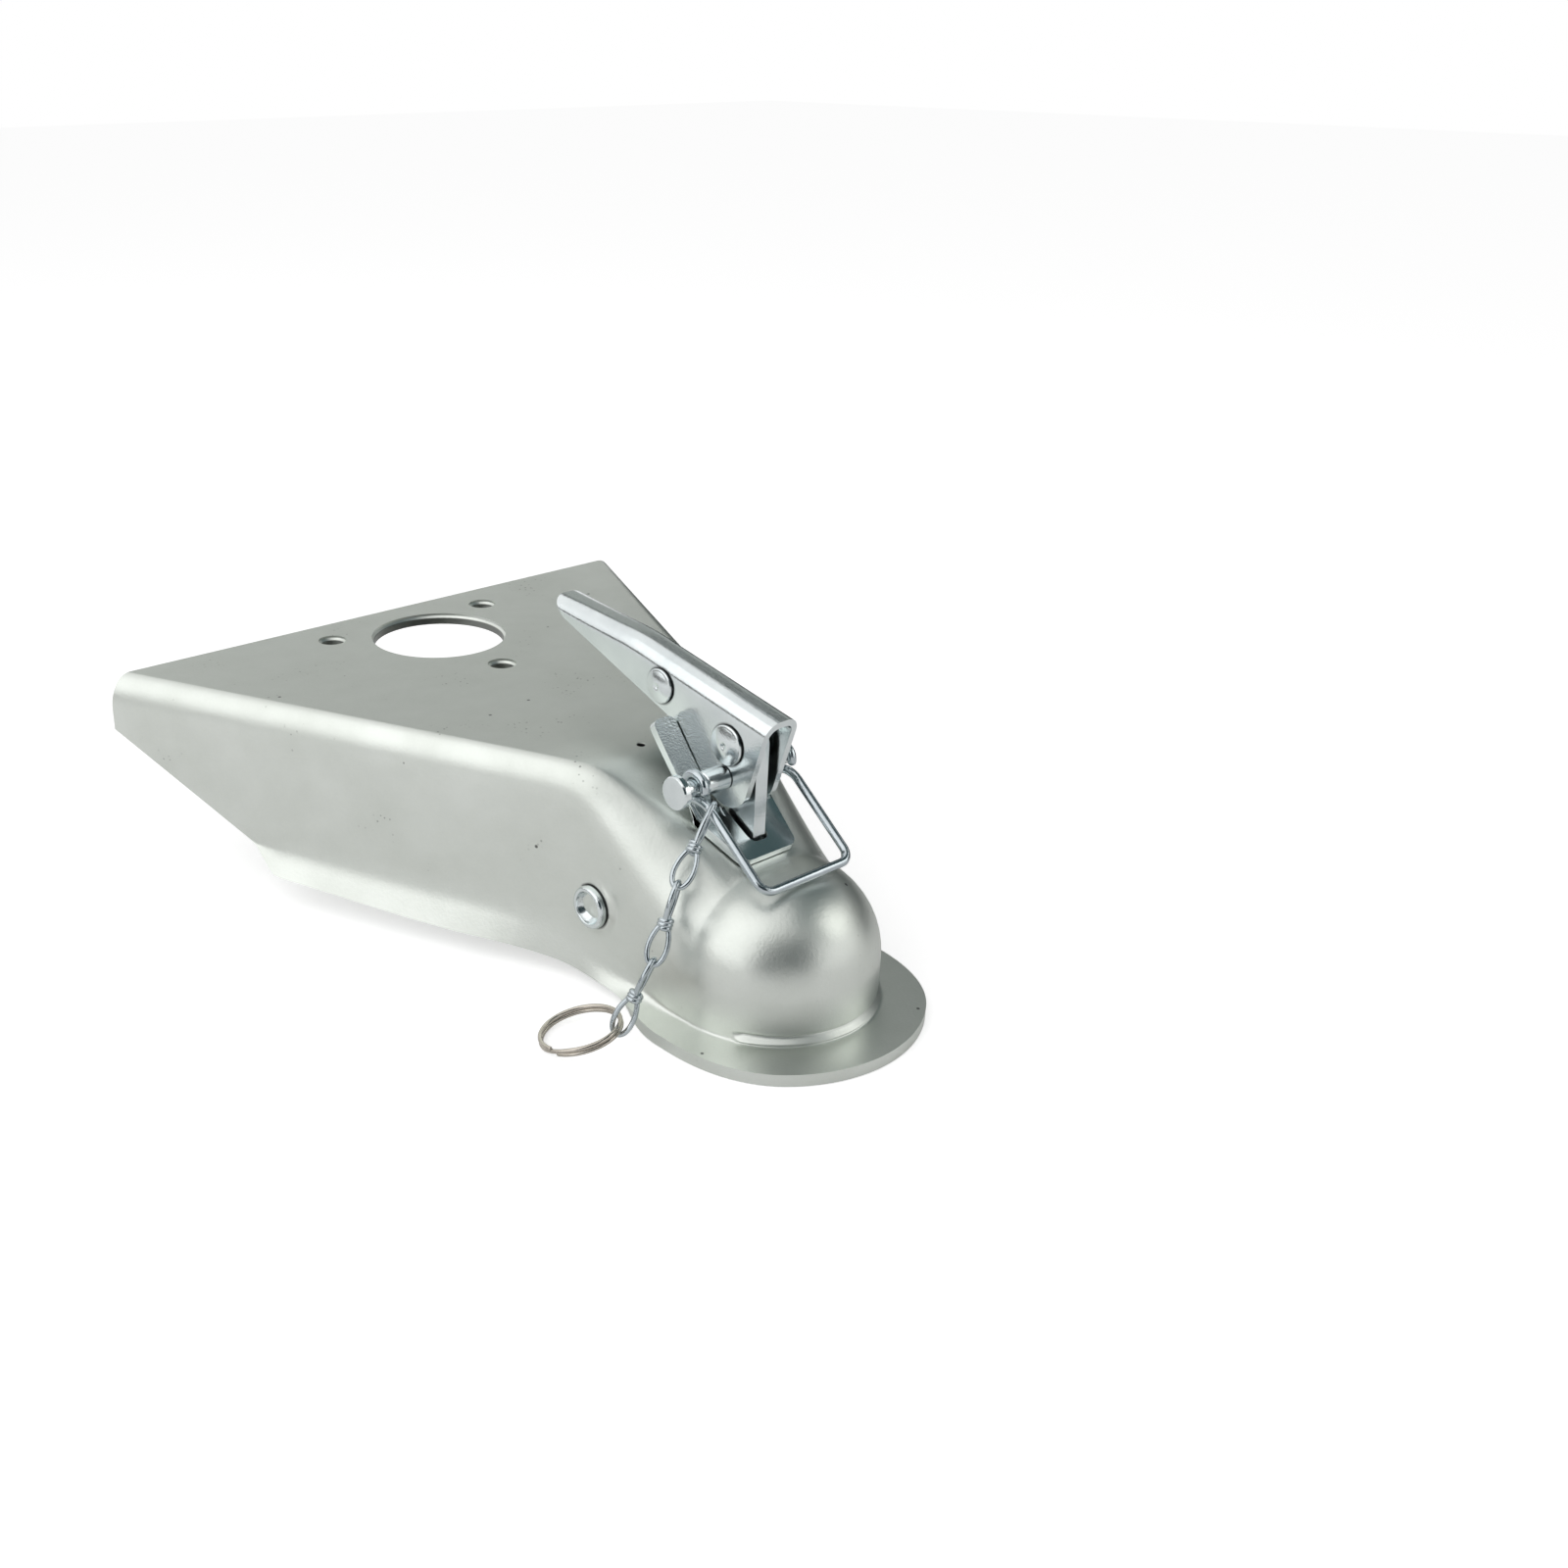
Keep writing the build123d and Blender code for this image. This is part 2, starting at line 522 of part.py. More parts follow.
def lock_bail():
    """Wire bail: a ring round each end of the pin, two legs and a front bar."""
    ring = LOCK_PIN_DIAMETER / 2 + SHAFT_CLEARANCE + BAIL_WIRE / 2
    start = ring / hypot(BAIL_REACH, BAIL_FALL)
    near = (LOCK_Y - BAIL_REACH * start, LOCK_Z - BAIL_FALL * start)
    bar = (LOCK_Y - BAIL_REACH, LOCK_Z - BAIL_FALL)
    path = FilletPolyline(
        (-BAIL_HALF_WIDTH, *near),
        (-BAIL_HALF_WIDTH, *bar),
        (BAIL_HALF_WIDTH, *bar),
        (BAIL_HALF_WIDTH, *near),
        radius=BAIL_CORNER,
    )
    wire = sweep(Plane(path @ 0, z_dir=path % 0) * Circle(BAIL_WIRE / 2), path)
    for side in (1, -1):
        eye = Torus(ring, BAIL_WIRE / 2)
        wire += Plane(origin=(side * BAIL_HALF_WIDTH, LOCK_Y, LOCK_Z), z_dir=(1, 0, 0)) * eye
    return wire


def chain_directions():
    """Unit vector down each chain link."""
    vectors = []
    for lean, heading in CHAIN_ANGLES:
        out = sin(radians(lean))
        vectors.append(Vector(-out * cos(radians(heading)), out * sin(radians(heading)), -cos(radians(lean))))
    return vectors


def chain_links():
    """Wire links, each two loops at right angles joined by a wound knot."""
    leg = Vector(0, -BAIL_REACH, -BAIL_FALL).normalized()
    point = Vector(-BAIL_HALF_WIDTH, LOCK_Y, LOCK_Z) + leg * CHAIN_HANG_ALONG_BAIL
    links = []
    wide = leg
    for number, down in enumerate(chain_directions()):
        above = CHAIN_BAIL_GRIP if number == 0 else CHAIN_GRIP
        first = down.cross(wide).normalized()
        second = down.cross(first).normalized()
        half = CHAIN_LINK_LENGTH / 2
        link = chain_loop(point + down * half, down * -1, first, half + above)
        link += chain_loop(point + down * half, down, second, half + CHAIN_GRIP)
        knot = Cylinder(CHAIN_KNOT_DIAMETER / 2, CHAIN_KNOT_LENGTH)
        knot = fillet(knot.edges().filter_by(GeomType.CIRCLE), CHAIN_WIRE / 2)
        link += Plane(origin=point + down * half, x_dir=first, z_dir=down) * knot
        links.append(link)
        point = point + down * CHAIN_LINK_LENGTH
        wide = second
    return links, point + down * (CHAIN_GRIP - RING_SEAT)


def chain_loop(centre, along, wide, reach):
    """Long wire loop from the knot at centre, reaching along one way and lying in the plane of wide."""
    plane = Plane(origin=centre, x_dir=along, z_dir=along.cross(wide))
    length = reach + CHAIN_WIRE / 2
    width = CHAIN_LOOP_WIDTH - CHAIN_WIRE
    path = (plane * Pos((length - CHAIN_WIRE) / 2, 0) * SlotOverall(length, width)).wire()
    return sweep(Plane(path @ 0, z_dir=path % 0) * Circle(CHAIN_WIRE / 2), path)


def split_ring(seat):
    """Two close turns of wire, held at the seat in the last link and resting its far side at floor level."""
    turn = (RING_DIAMETER - RING_WIRE) / 2
    pitch = RING_WIRE - RING_TURN_GAP
    low = FLOOR + (pitch + RING_WIRE) / 2
    slope = (seat.Z - low) / (2 * turn)
    level = sqrt(1 - slope**2)
    heading = radians(RING_HEADING)
    out = Vector(-cos(heading), sin(heading), 0)
    up = Vector(0, 0, 1)
    plane = Plane(origin=seat + (out * level - up * slope) * turn, z_dir=out * slope + up * level)
    ring = Torus(turn, RING_WIRE / 2)
    return plane * (Pos(0, 0, pitch / 2) * ring + Pos(0, 0, -pitch / 2) * ring)


def link_pin():
    """Pin through the clamp's fork that the draw link pulls on."""
    pin = (LEVER_PIVOT_Y, LEVER_PIVOT_Z - LINK_LENGTH)
    return cross_bar(LINK_PIN_DIAMETER / 2, -CLAMP_HALF_WIDTH, CLAMP_HALF_WIDTH, *pin)


def all_pieces():
    """Every piece by name."""
    links, chain_end = chain_links()
    grip = on_lever(GRIP_RIVET_BACK, GRIP_RIVET_RISE)
    pieces = {
        "housing": housing(),
        "saddle": saddle(),
        "lever": lever(),
        "lever_rivet": domed_rivet(RIVET_DIAMETER, RIVET_HEAD_DIAMETER, LEVER_PIVOT_Y, LEVER_PIVOT_Z),
        "grip_rivet": domed_rivet(GRIP_RIVET_DIAMETER, GRIP_HEAD_DIAMETER, *grip),
        "draw_link": draw_link(),
        "ball_clamp": ball_clamp(),
        "link_pin": link_pin(),
        "cross_rivet": cross_rivet(),
        "right_spacer": spacer(-1),
        "left_spacer": spacer(1),
        "lock_pin": lock_pin(),
        "lock_bail": lock_bail(),
        "split_ring": split_ring(chain_end),
    }
    for number, link in enumerate(links, 1):
        pieces[f"chain_link_{number}"] = link
    return pieces


os.makedirs("parts", exist_ok=True)
for name, piece in all_pieces().items():
    export_step(piece, f"parts/{name}.step")
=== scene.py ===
"""Looks of the trailer coupling head: the stamped housing as one smooth sheet, the folded lever, the wire
bail and chain, all in zinc, and the nickel ring.

Sizes are in millimetres in the same frame as the solids, with the tow ball's centre at the origin."""
from math import cos, hypot, pi, radians, sin, sqrt, tan

import bmesh
import bpy
import numpy as np
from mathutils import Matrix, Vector


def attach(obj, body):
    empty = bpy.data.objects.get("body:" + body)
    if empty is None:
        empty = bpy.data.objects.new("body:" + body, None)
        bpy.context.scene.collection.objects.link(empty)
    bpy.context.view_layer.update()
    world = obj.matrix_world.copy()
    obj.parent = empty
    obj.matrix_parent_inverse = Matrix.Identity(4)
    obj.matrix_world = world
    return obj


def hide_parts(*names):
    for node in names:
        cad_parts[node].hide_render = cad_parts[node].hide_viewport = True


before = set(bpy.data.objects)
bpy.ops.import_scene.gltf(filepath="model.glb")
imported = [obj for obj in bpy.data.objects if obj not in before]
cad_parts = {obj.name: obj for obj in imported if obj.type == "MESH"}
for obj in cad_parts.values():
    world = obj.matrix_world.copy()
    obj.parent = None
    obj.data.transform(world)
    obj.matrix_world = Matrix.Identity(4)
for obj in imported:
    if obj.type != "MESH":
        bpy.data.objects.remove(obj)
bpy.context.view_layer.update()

MM = 0.001

# Stamped housing
SHEET = 4.8
DOME_RADIUS = 41.0
DOME_TOP = 34.67
DOME_FLAT = 7.0
FLANGE_TOP = -17.2
FLANGE_REACH = 18.0
FLANGE_SIDE = 0.75
FLOOR = -22.0
SHOULDER_Y = 57.0
REAR_Y = 257.0
PLATE_HEIGHT = 65.0
FOLD_RADIUS = 9.5
FOLD_STRETCH = 0.6
SHOULDER_HALF_WIDTH = 45.2
SPREAD = tan(radians(25.0))
CREASE_Z = 2.0
REAR_CUT_Y = 180.0
REAR_CUT_Z = -7.0
REAR_EDGE_Z = 41.0
CROWN_BLEND = 2.0
SHOULDER_BLEND = 3.0
WAIST_BLEND = 6.0
NECK_END = SHOULDER_Y + 23.0

# Height of the sheet's edge, height of the crease, reach of the lip and rounding of the crease, as (y, value)
EDGE_LINE = ((30.0, FLANGE_TOP), (95.0, -12.0), (200.0, REAR_CUT_Z))
CREASE_LINE = ((8.0, FLANGE_TOP), (80.0, CREASE_Z))
REACH_LINE = ((0.0, FLANGE_REACH * FLANGE_SIDE), (38.0, 4.6), (57.0, 4.0), (100.0, 7.5))
ROUNDING_LINE = ((0.0, 1.8), (40.0, 6.0))

# Points across each part of the housing's section
SECTION_STEPS = 14
WALL_STEPS = 30

# Bead at the dome's foot, and the angles round the dome where it and the full flange start
BEAD_HEIGHT = 1.3
BEAD_Z = -15.9
BEAD_SPREAD = 0.75
GROOVE_DEPTH = 0.9
GROOVE_RISE = 2.0
BEAD_START = 0.46
BEAD_FULL = 0.56
FLANGE_FULL = 0.9

# Cross rivet, its bosses and its spacers; the foot and the dish of its head as (radius, height)
BOSS_Y = 49.0
BOSS_Z = 12.0
BOSS_RADIUS = 9.3
BOSS_SLOPE = 2.5
BOSS_HALF_WIDTH = 45.54
CROSS_SHANK = 6.0
CROSS_HEAD = 8.5
CROSS_HEIGHT = 3.2
CROSS_RIM = 1.2
CROSS_LIP = 7.0
CROSS_LIP_ROUND = 0.6
CROSS_FOOT = ((7.9, 0.0), (7.9, 0.3), (CROSS_HEAD, 0.4))
CROSS_DISH = ((6.0, 1.6), (4.3, -0.6), (2.8, -2.4), (2.3, -2.8), (2.1, -5.0), (0.0, -5.2))
SPACER_SPAN = (11.5, 38.0)
SPACER_BORE = 6.05
SPACER_WALL = 2.5
SPACER_EASE = 0.5

# Holes in the housing
JACK_HOLE_Y = 213.5
JACK_HOLE_RADIUS = 29.0
JACK_BOLT_CIRCLE = 95.0
JACK_BOLT_RADIUS = 5.15
DRAIN_HOLE = (-11.5, 62.0, 1.5)
DRAIN_FLARE = 0.3
LINK_SLOT = (4.6, 7.0, 30.2)
EDGE_ROUND = 1.0

# Painted shade: how dark the holes are painted inside, and the painted shadow line at the foot of the rivet
# heads
DRAIN_PAINTED_SHADE = 0.95
JACK_HOLE_PAINTED_SHADE = 0.7
JACK_BOLT_PAINTED_SHADE = 0.6
RIVET_SHADOW_DARK = 0.9
RIVET_SHADOW_HEIGHT = 0.9
# Dark tone of the pits, also used for the painted shade of the holes and rivet feet
PIT_AND_SHADE_TONE = (0.03, 0.03, 0.03, 1.0)
BUMP_DEPTH = 0.4

# Lever, its rivets and the lock pin, as (y, z) in the trailer's upright plane; each y of the lever's foot
# line goes with one of its spine
LEVER_SHEET = 2.6
LEVER_HALF_WIDTH = 8.2
LEVER_FOLD = 6.4
LEVER_FRONT = (-0.9, 91.5)
LEVER_BEND = (74.0, 105.0)
LEVER_TIP = (121.0, 108.5)
LEVER_TIP_LOW = (114.0, 101.5)
LEVER_HEEL = (50.4, 79.3)
LEVER_LOBE = (34.9, 58.6)
LEVER_NOSE = (11.2, 51.3)
LEVER_EDGE = 0.4
FOOT_RADII = (10.0, 4.0, 4.0, 3.0)
SPINE_RADIUS = 150.0
FOOT_Y = (8.3, 36.0, 52.0, 114.0)
SPINE_Y = (-0.9, 37.0, 55.0, 121.0)
GRIP_LIP = 7.0
GRIP_CUT = (70.0, 79.0)
LEVER_PIVOT = (18.6, 78.0)
PIVOT_SHANK = 4.0
PIVOT_HEAD = 7.8
GRIP_RIVET = (55.2, 90.0)
GRIP_SHANK = 3.5
GRIP_HEAD = 6.8
RIVET_HEIGHT = 2.6
RIVET_RIM = 0.7
RIVET_DIMPLE = 0.7
RIVET_GAP = 0.4
RIVET_UNDERCUT = 0.6
RIVET_FOOT = 0.3
LOCK_PIN = (20.1, 65.0)

# Lock pin along x; its disc's edge as (in from the rim, out from the seat)
PIN_SEAT = -29.5
PIN_DISC = 6.5
PIN_THICK = 3.2
PIN_EDGE = ((1.1, PIN_THICK), (0.5, 3.05), (0.12, 2.6), (0.0, 2.1), (0.0, 0.4), (0.4, 0.0))
PIN_SHANK = 3.2
PIN_FILLET = 0.3
PIN_COLLAR = 4.6
PIN_COLLAR_SPAN = (-19.0, -8.6)
PIN_COLLAR_EASE = 0.4
PIN_TIP = 27.0
PIN_CHAMFER = 1.28

# Pin in the clamp's fork, under the lever's pivot
LINK_PIN_HALF = 11.0
LINK_PIN_RADIUS = 3.5
LINK_PIN_CHAMFER = 0.5
LINK_PIN_DROP = 46.0

# Wire bail, chain and ring; the bail eye's half opening, the chain's leans and headings and the ring's
# heading are in degrees, the ring's gap in half turns and its start in radians
BAIL_WIRE = 3.4
BAIL_EYE = 5.0
BAIL_EYE_GAP = 32.0
BAIL_JOIN = 11.0
BAIL_HALF_WIDTH = 22.2
BAIL_LEG = (-37.0, -28.5)
BAIL_CORNER = 5.0
CHAIN_WIRE = 2.0
CHAIN_WIDTH = 7.2
CHAIN_PITCH = 29.0
CHAIN_GRIP = 1.05
CHAIN_BAIL_GRIP = 3.2
CHAIN_HANG = 11.0
CHAIN_ANGLES = ((42.0, -12.0), (26.0, -8.0), (28.0, 15.0))
LOOP_TUCK = 0.4
LOOP_NECK = 0.5
LOOP_BELLY = 0.62
KNOT_RADIUS = 2.0
KNOT_LENGTH = 3.4
KNOT_TURNS = 2.5
RING_TURN = 15.0
RING_WIRE = 1.7
RING_PITCH = 1.6
RING_HEADING = 52.0
RING_SEAT = 3.4
RING_GAP = 0.04
RING_START = 1.1

# Edges of the pieces made from the solids: the rounding, and the length of an edge across the sheet
PLATE_EASE = 0.4
CLAMP_EASE = 0.6
SADDLE_CORNER = 3.0
PLATE_EDGE = 3.8

# Stage: floor, light and camera; the camera's place is in metres
FLOOR_SIZE = 12000.0
FLOOR_GAP = 0.2
FLOOR_TONE = 0.86
FLOOR_LIFT = 0.48
WORLD_LIGHT = 0.57
STAGE_CENTRE = (0.0, 100.0, 30.0)
LAMP_PLACE = (-1000.0, 180.0, 800.0)
LAMP_TARGET = (0.0, 100.0, 20.0)
LAMP_SIZE = 1600.0
LAMP_POWER = 9.6
LENS = 38.38
LENS_SHIFT = (0.137, -0.005)
CAMERA_PLACE = (-0.3999, -0.3779, 0.3144)
CAMERA_TARGET = (0.0, 120.0, 28.0)

# Cards that the metal reflects, as name, direction from the stage's centre, distance, width, height and tone
CARDS = (
    ("front_card", (-0.45, -0.76, 0.42), 1500.0, 1900.0, 1200.0, (0.02, 0.036, 0.042)),
    ("rear_card", (0.58, 0.7, 0.43), 1700.0, 1900.0, 620.0, (0.36, 0.38, 0.36)),
    ("line_card", (0.57, 0.53, 0.63), 1600.0, 1700.0, 200.0, (0.04, 0.05, 0.05)),
    ("ceiling_card", (0.53, -0.26, 0.78), 1750.0, 2700.0, 1500.0, (0.06, 0.095, 0.1)),
    ("right_card", (0.98, 0.05, 0.1), 420.0, 700.0, 240.0, (0.03, 0.04, 0.04)),
    ("horizon_card", (-0.93, 0.36, 0.06), 1500.0, 2700.0, 250.0, (0.04, 0.045, 0.04)),
    ("spot_card", (0.5, -0.75, 0.43), 340.0, 160.0, 115.0, (1.9, 1.9, 1.85)),
    ("side_card", (-1000.0, 80.0, 770.0), 1280.0, LAMP_SIZE, LAMP_SIZE, (0.22, 0.22, 0.22)),
)


class Value:
    """A socket of a material. Sums and products with it add Math nodes."""

    def __init__(self, finish, socket):
        self.finish = finish
        self.socket = socket

    def math(self, operation, *others):
        return self.finish.node("ShaderNodeMath", {"operation": operation}, (self, *others))

    def __add__(self, other):
        return self.math("ADD", other)

    __radd__ = __add__

    def __sub__(self, other):
        return self.math("SUBTRACT", other)

    def __rsub__(self, other):
        return self.finish.node("ShaderNodeMath", {"operation": "SUBTRACT"}, (other, self))

    def __mul__(self, other):
        return self.math("MULTIPLY", other)

    __rmul__ = __mul__

    def clamped(self):
        return self.math("MINIMUM", 1.0).math("MAXIMUM", 0.0)


class Finish:
    """One material and its nodes."""

    def __init__(self, name):
        self.material = bpy.data.materials.new(name)
        self.material.use_nodes = True
        self.tree = self.material.node_tree
        self.tree.nodes.clear()

    def node(self, kind, settings=None, inputs=(), output=0):
        """Add a node: its settings first, then its sockets by order or by name, and give back an output."""
        node = self.tree.nodes.new(kind)
        for key, value in (settings or {}).items():
            setattr(node, key, value)
        pairs = inputs.items() if isinstance(inputs, dict) else enumerate(inputs)
        for key, value in pairs:
            if isinstance(value, Value):
                self.tree.links.new(value.socket, node.inputs[key])
            else:
                node.inputs[key].default_value = value
        return Value(self, node.outputs[output]) if node.outputs else None

    def blend(self, share, first, second):
        """Colour between first and second by share."""
        settings = {"data_type": "RGBA"}
        return self.node("ShaderNodeMix", settings, {0: share, 6: first, 7: second}, 2)

    def noise(self, place, scale, detail=3.0, roughness=0.55):
        """Noise between 0 and 1 at so many cells a metre."""
        inputs = {"Vector": place, "Scale": scale, "Detail": detail, "Roughness": roughness}
        return self.node("ShaderNodeTexNoise", {}, inputs)

    def specks(self, place, scale, size):
        """1 in small round spots, at so many cells a metre, and 0 between them."""
        near = self.node("ShaderNodeTexVoronoi", {}, {"Vector": place, "Scale": scale}, "Distance")
        return ((size - near) * (3.0 / size)).clamped()

    def place(self):
        """Object coordinates."""
        return self.node("ShaderNodeTexCoord", {}, (), "Object")

    def away(self, place, centre, axis):
        """Distance in millimetres from an axis through centre: what is left of the place when its part along
        the axis is taken out."""
        kind = "ShaderNodeVectorMath"
        spread = self.node(kind, {"operation": "SUBTRACT"}, (place, [v * MM for v in centre]))
        flat = self.node(kind, {"operation": "MULTIPLY"}, (spread, [1.0 - a for a in axis]))
        return self.node(kind, {"operation": "LENGTH"}, (flat,), "Value") * (1.0 / MM)

    def surface(self, **inputs):
        """Close the material with a Principled shader."""
        named = {key.replace("_", " "): value for key, value in inputs.items()}
        shader = self.node("ShaderNodeBsdfPrincipled", {}, named)
        self.node("ShaderNodeOutputMaterial", {}, {"Surface": shader})
        return self.material


def zinc(name, bright, dull, cloud_scale, rough, rough_spread, grain, pits, holes=(), rivet_shadows=()):
    """Zinc plate: two tints in soft clouds and a fine frost, roughness that drifts with them, sparse dark
    pits with smaller ones in clusters, and the frost again in the bump.

    Upright holes, as (x, y, radius, share), get painted shade inside. A painted shadow line lies round the
    foot of each listed rivet head, as (y, z, radius, half width over the walls that it sits on)."""
    finish = Finish(name)
    place = finish.place()
    cloud = finish.noise(place, cloud_scale)
    frost = finish.noise(place, cloud_scale * 24, 2.0)
    share = ((cloud * 2.2 - 0.6) * 0.7 + frost * 0.3).clamped()
    cluster = (cloud * 8.0 - 4.6).clamped()
    coarse = finish.specks(place, 62.0, 0.05)
    fine = finish.specks(place, 360.0, 0.2) * cluster * 0.7
    pit = (coarse + fine).clamped() * pits
    dark = pit
    # Painted shade inside each upright hole
    for x, y, radius, depth in holes:
        away = finish.away(place, (x, y, 0.0), (0.0, 0.0, 1.0))
        dark = dark.math("MAXIMUM", ((radius + 0.3 - away) * 4.0).clamped() * depth)
    # Painted shadow line round the foot of each rivet head, over the walls that it sits on
    for y, z, radius, wall in rivet_shadows:
        away = finish.away(place, (0.0, y, z), (1.0, 0.0, 0.0))
        ring = (1.0 - (away - radius).math("ABSOLUTE")).clamped()
        aside = finish.node("ShaderNodeSeparateXYZ", {}, (place,), "X").math("ABSOLUTE") * (1.0 / MM)
        low = ((wall + RIVET_SHADOW_HEIGHT - aside) * 4.0).clamped()
        dark = dark.math("MAXIMUM", ring * low * RIVET_SHADOW_DARK)
    colour = finish.blend(share, (*bright, 1.0), (*dull, 1.0))
    # Pits take the dark tone as their own colour; holes and rivet feet take it as painted shade
    colour = finish.blend(dark, colour, PIT_AND_SHADE_TONE)
    height = frost + cloud * 0.6 - pit
    bump = finish.node(
        "ShaderNodeBump", {}, {"Strength": grain, "Distance": BUMP_DEPTH * MM, "Height": height}
    )
    roughness = share * rough_spread + rough
    return finish.surface(Base_Color=colour, Metallic=1.0, Roughness=roughness, Normal=bump)


def bolt_places():
    """Middles of the bolt holes, evenly round the jack hole."""
    reach = JACK_BOLT_CIRCLE / 2
    turns = [radians(-90 + 120 * bolt) for bolt in range(3)]
    return [(reach * cos(turn), JACK_HOLE_Y + reach * sin(turn)) for turn in turns]


def make_materials():
    """A material for each slot of the record, and a darker copy of the latch zinc for the latch's wires,
    painted shade for the dark reflections along them.
    """
    # Holes with painted shade inside
    holes = [(*DRAIN_HOLE, DRAIN_PAINTED_SHADE), (0.0, JACK_HOLE_Y, JACK_HOLE_RADIUS, JACK_HOLE_PAINTED_SHADE)]
    holes += [(*place, JACK_BOLT_RADIUS, JACK_BOLT_PAINTED_SHADE) for place in bolt_places()]
    # Painted shadow lines round the feet of the rivet heads
    rivet_shadow = (BOSS_Y, BOSS_Z, CROSS_HEAD, BOSS_HALF_WIDTH)
    rivet_shadows = [(*LEVER_PIVOT, PIVOT_HEAD, LEVER_HALF_WIDTH), (*GRIP_RIVET, GRIP_HEAD, LEVER_HALF_WIDTH), rivet_shadow]
    # Cloud scale, roughness and its spread, grain and pits
    frosted = (34.0, 0.34, 0.1, 0.16, 0.8)
    bright = (60.0, 0.14, 0.1, 0.1, 0.0)
    polished = (90.0, 0.14, 0.08, 0.05, 0.0)
    return {
        "housing_zinc": zinc(
            "housing_zinc", (0.76, 0.79, 0.75), (0.66, 0.69, 0.645), *frosted, holes=holes, rivet_shadows=[rivet_shadow]
        ),
        "latch_zinc": zinc("latch_zinc", (0.83, 0.875, 0.875), (0.66, 0.71, 0.72), *bright, rivet_shadows=rivet_shadows),
        # Darker copy of the latch zinc: painted shade for the darker reflections that the wires show
        "wire_zinc_painted_shade": zinc("wire_zinc_painted_shade", (0.6, 0.65, 0.675), (0.4, 0.45, 0.48), *bright),
        "ring_nickel": zinc("ring_nickel", (0.6, 0.56, 0.5), (0.44, 0.4, 0.35), *polished),
    }


def easy(y, *pairs):
    """Level stretches joined by smooth steps: pairs are (y, value), eased from each to the next."""
    total = np.full_like(y, pairs[0][1])
    for (start, low), (end, high) in zip(pairs, pairs[1:]):
        share = np.clip((y - start) / (end - start), 0.0, 1.0)
        total += (high - low) * share * share * (3.0 - 2.0 * share)
    return total


def soft_ramp(t, width):
    """Zero before t = 0 and t after it, with the corner rounded over about width."""
    return width * np.logaddexp(0.0, t / width)


def unit(vectors):
    """Vectors at length 1."""
    return vectors / np.linalg.norm(vectors, axis=-1, keepdims=True)


def neck_ramp(y):
    """Distance along the neck that starts level at y = 0 and stops at the shoulder: y squared over y plus the
    crown's blend, less what lies past the shoulder, scaled to end at 1."""
    start = y * y / (y + CROWN_BLEND)
    full = SHOULDER_Y * SHOULDER_Y / (SHOULDER_Y + CROWN_BLEND)
    return (start - soft_ramp(y - SHOULDER_Y, SHOULDER_BLEND)) / full


def plate_top(y):
    """Height of the housing's ridge."""
    ramp = np.minimum(neck_ramp(y), 1.0)
    return DOME_TOP + (PLATE_HEIGHT - DOME_TOP) * ramp


def wall_half_width(y):
    """Half width over the walls: nearly level along the neck, then spreading with the tongue."""
    lean = (SHOULDER_HALF_WIDTH - DOME_RADIUS) / SHOULDER_Y
    return DOME_RADIUS + lean * y + (SPREAD - lean) * soft_ramp(y - SHOULDER_Y, WAIST_BLEND)


def half_section(y):
    """Right half of the sheet's outer face at stations y, from the ridge down to the edge.

    A level top, a quarter circle for the fold that is stretched downwards along the hood, an upright wall, a
    rounded crease and a straight foot to the edge of the flange or lip. Gives x and z as arrays of stations
    by points."""
    y = y[:, None]
    top = plate_top(y)
    half = wall_half_width(y)
    ramp = np.clip(neck_ramp(y), 0.0, 1.0)
    fold = DOME_RADIUS - DOME_FLAT + (FOLD_RADIUS - DOME_RADIUS + DOME_FLAT) * ramp
    drop = fold * (1.0 + FOLD_STRETCH * ramp)
    cut = REAR_CUT_Z + (REAR_EDGE_Z - REAR_CUT_Z) * (y - REAR_CUT_Y) / (REAR_Y - REAR_CUT_Y)
    edge_z = easy(y, *EDGE_LINE)
    crease = easy(y, *CREASE_LINE)
    reach = easy(y, *REACH_LINE)
    left_over = np.clip((crease - np.maximum(cut, edge_z)) / (crease - edge_z + 1e-6), 0.0, 1.0)
    left_over = np.where(y < REAR_CUT_Y, 1.0, left_over)
    edge_z = np.where(y < REAR_CUT_Y, edge_z, np.maximum(edge_z, cut))
    reach = reach * left_over
    crease = np.maximum(crease, edge_z)
    share = np.linspace(0.0, 1.0, SECTION_STEPS)[None, :]
    flat_x = (half - fold) * share
    flat_z = top + 0.0 * share
    turn = share * pi / 2
    fold_x = half - fold + fold * np.sin(turn)
    fold_z = top - drop + drop * np.cos(turn)
    rounding = np.minimum(easy(y, *ROUNDING_LINE), 0.4 * (top - drop - crease))
    rounding = rounding * np.clip(left_over, 0.05, 1.0)
    fall = np.linspace(0.0, 1.0, WALL_STEPS)[None, :]
    wall_z = top - drop + (crease + rounding - top + drop) * fall
    wall_x = half + 0.0 * fall
    foot = np.hypot(reach, crease - edge_z) + 1e-6
    bend = np.minimum(rounding, 0.6 * foot)
    out_x = half + reach * bend / foot
    out_z = crease + (edge_z - crease) * bend / foot
    keep = 1.0 - share
    crease_x = keep * keep * half + 2 * keep * share * half + share * share * out_x
    crease_z = keep * keep * (crease + rounding) + 2 * keep * share * crease + share * share * out_z
    foot_x = out_x + (half + reach - out_x) * share
    foot_z = out_z + (edge_z - out_z) * share
    x = np.hstack([flat_x, fold_x[:, 1:], wall_x[:, 1:], crease_x[:, 1:], foot_x[:, 1:]])
    z = np.hstack([flat_z, fold_z[:, 1:], wall_z[:, 1:], crease_z[:, 1:], foot_z[:, 1:]])
    return x, z


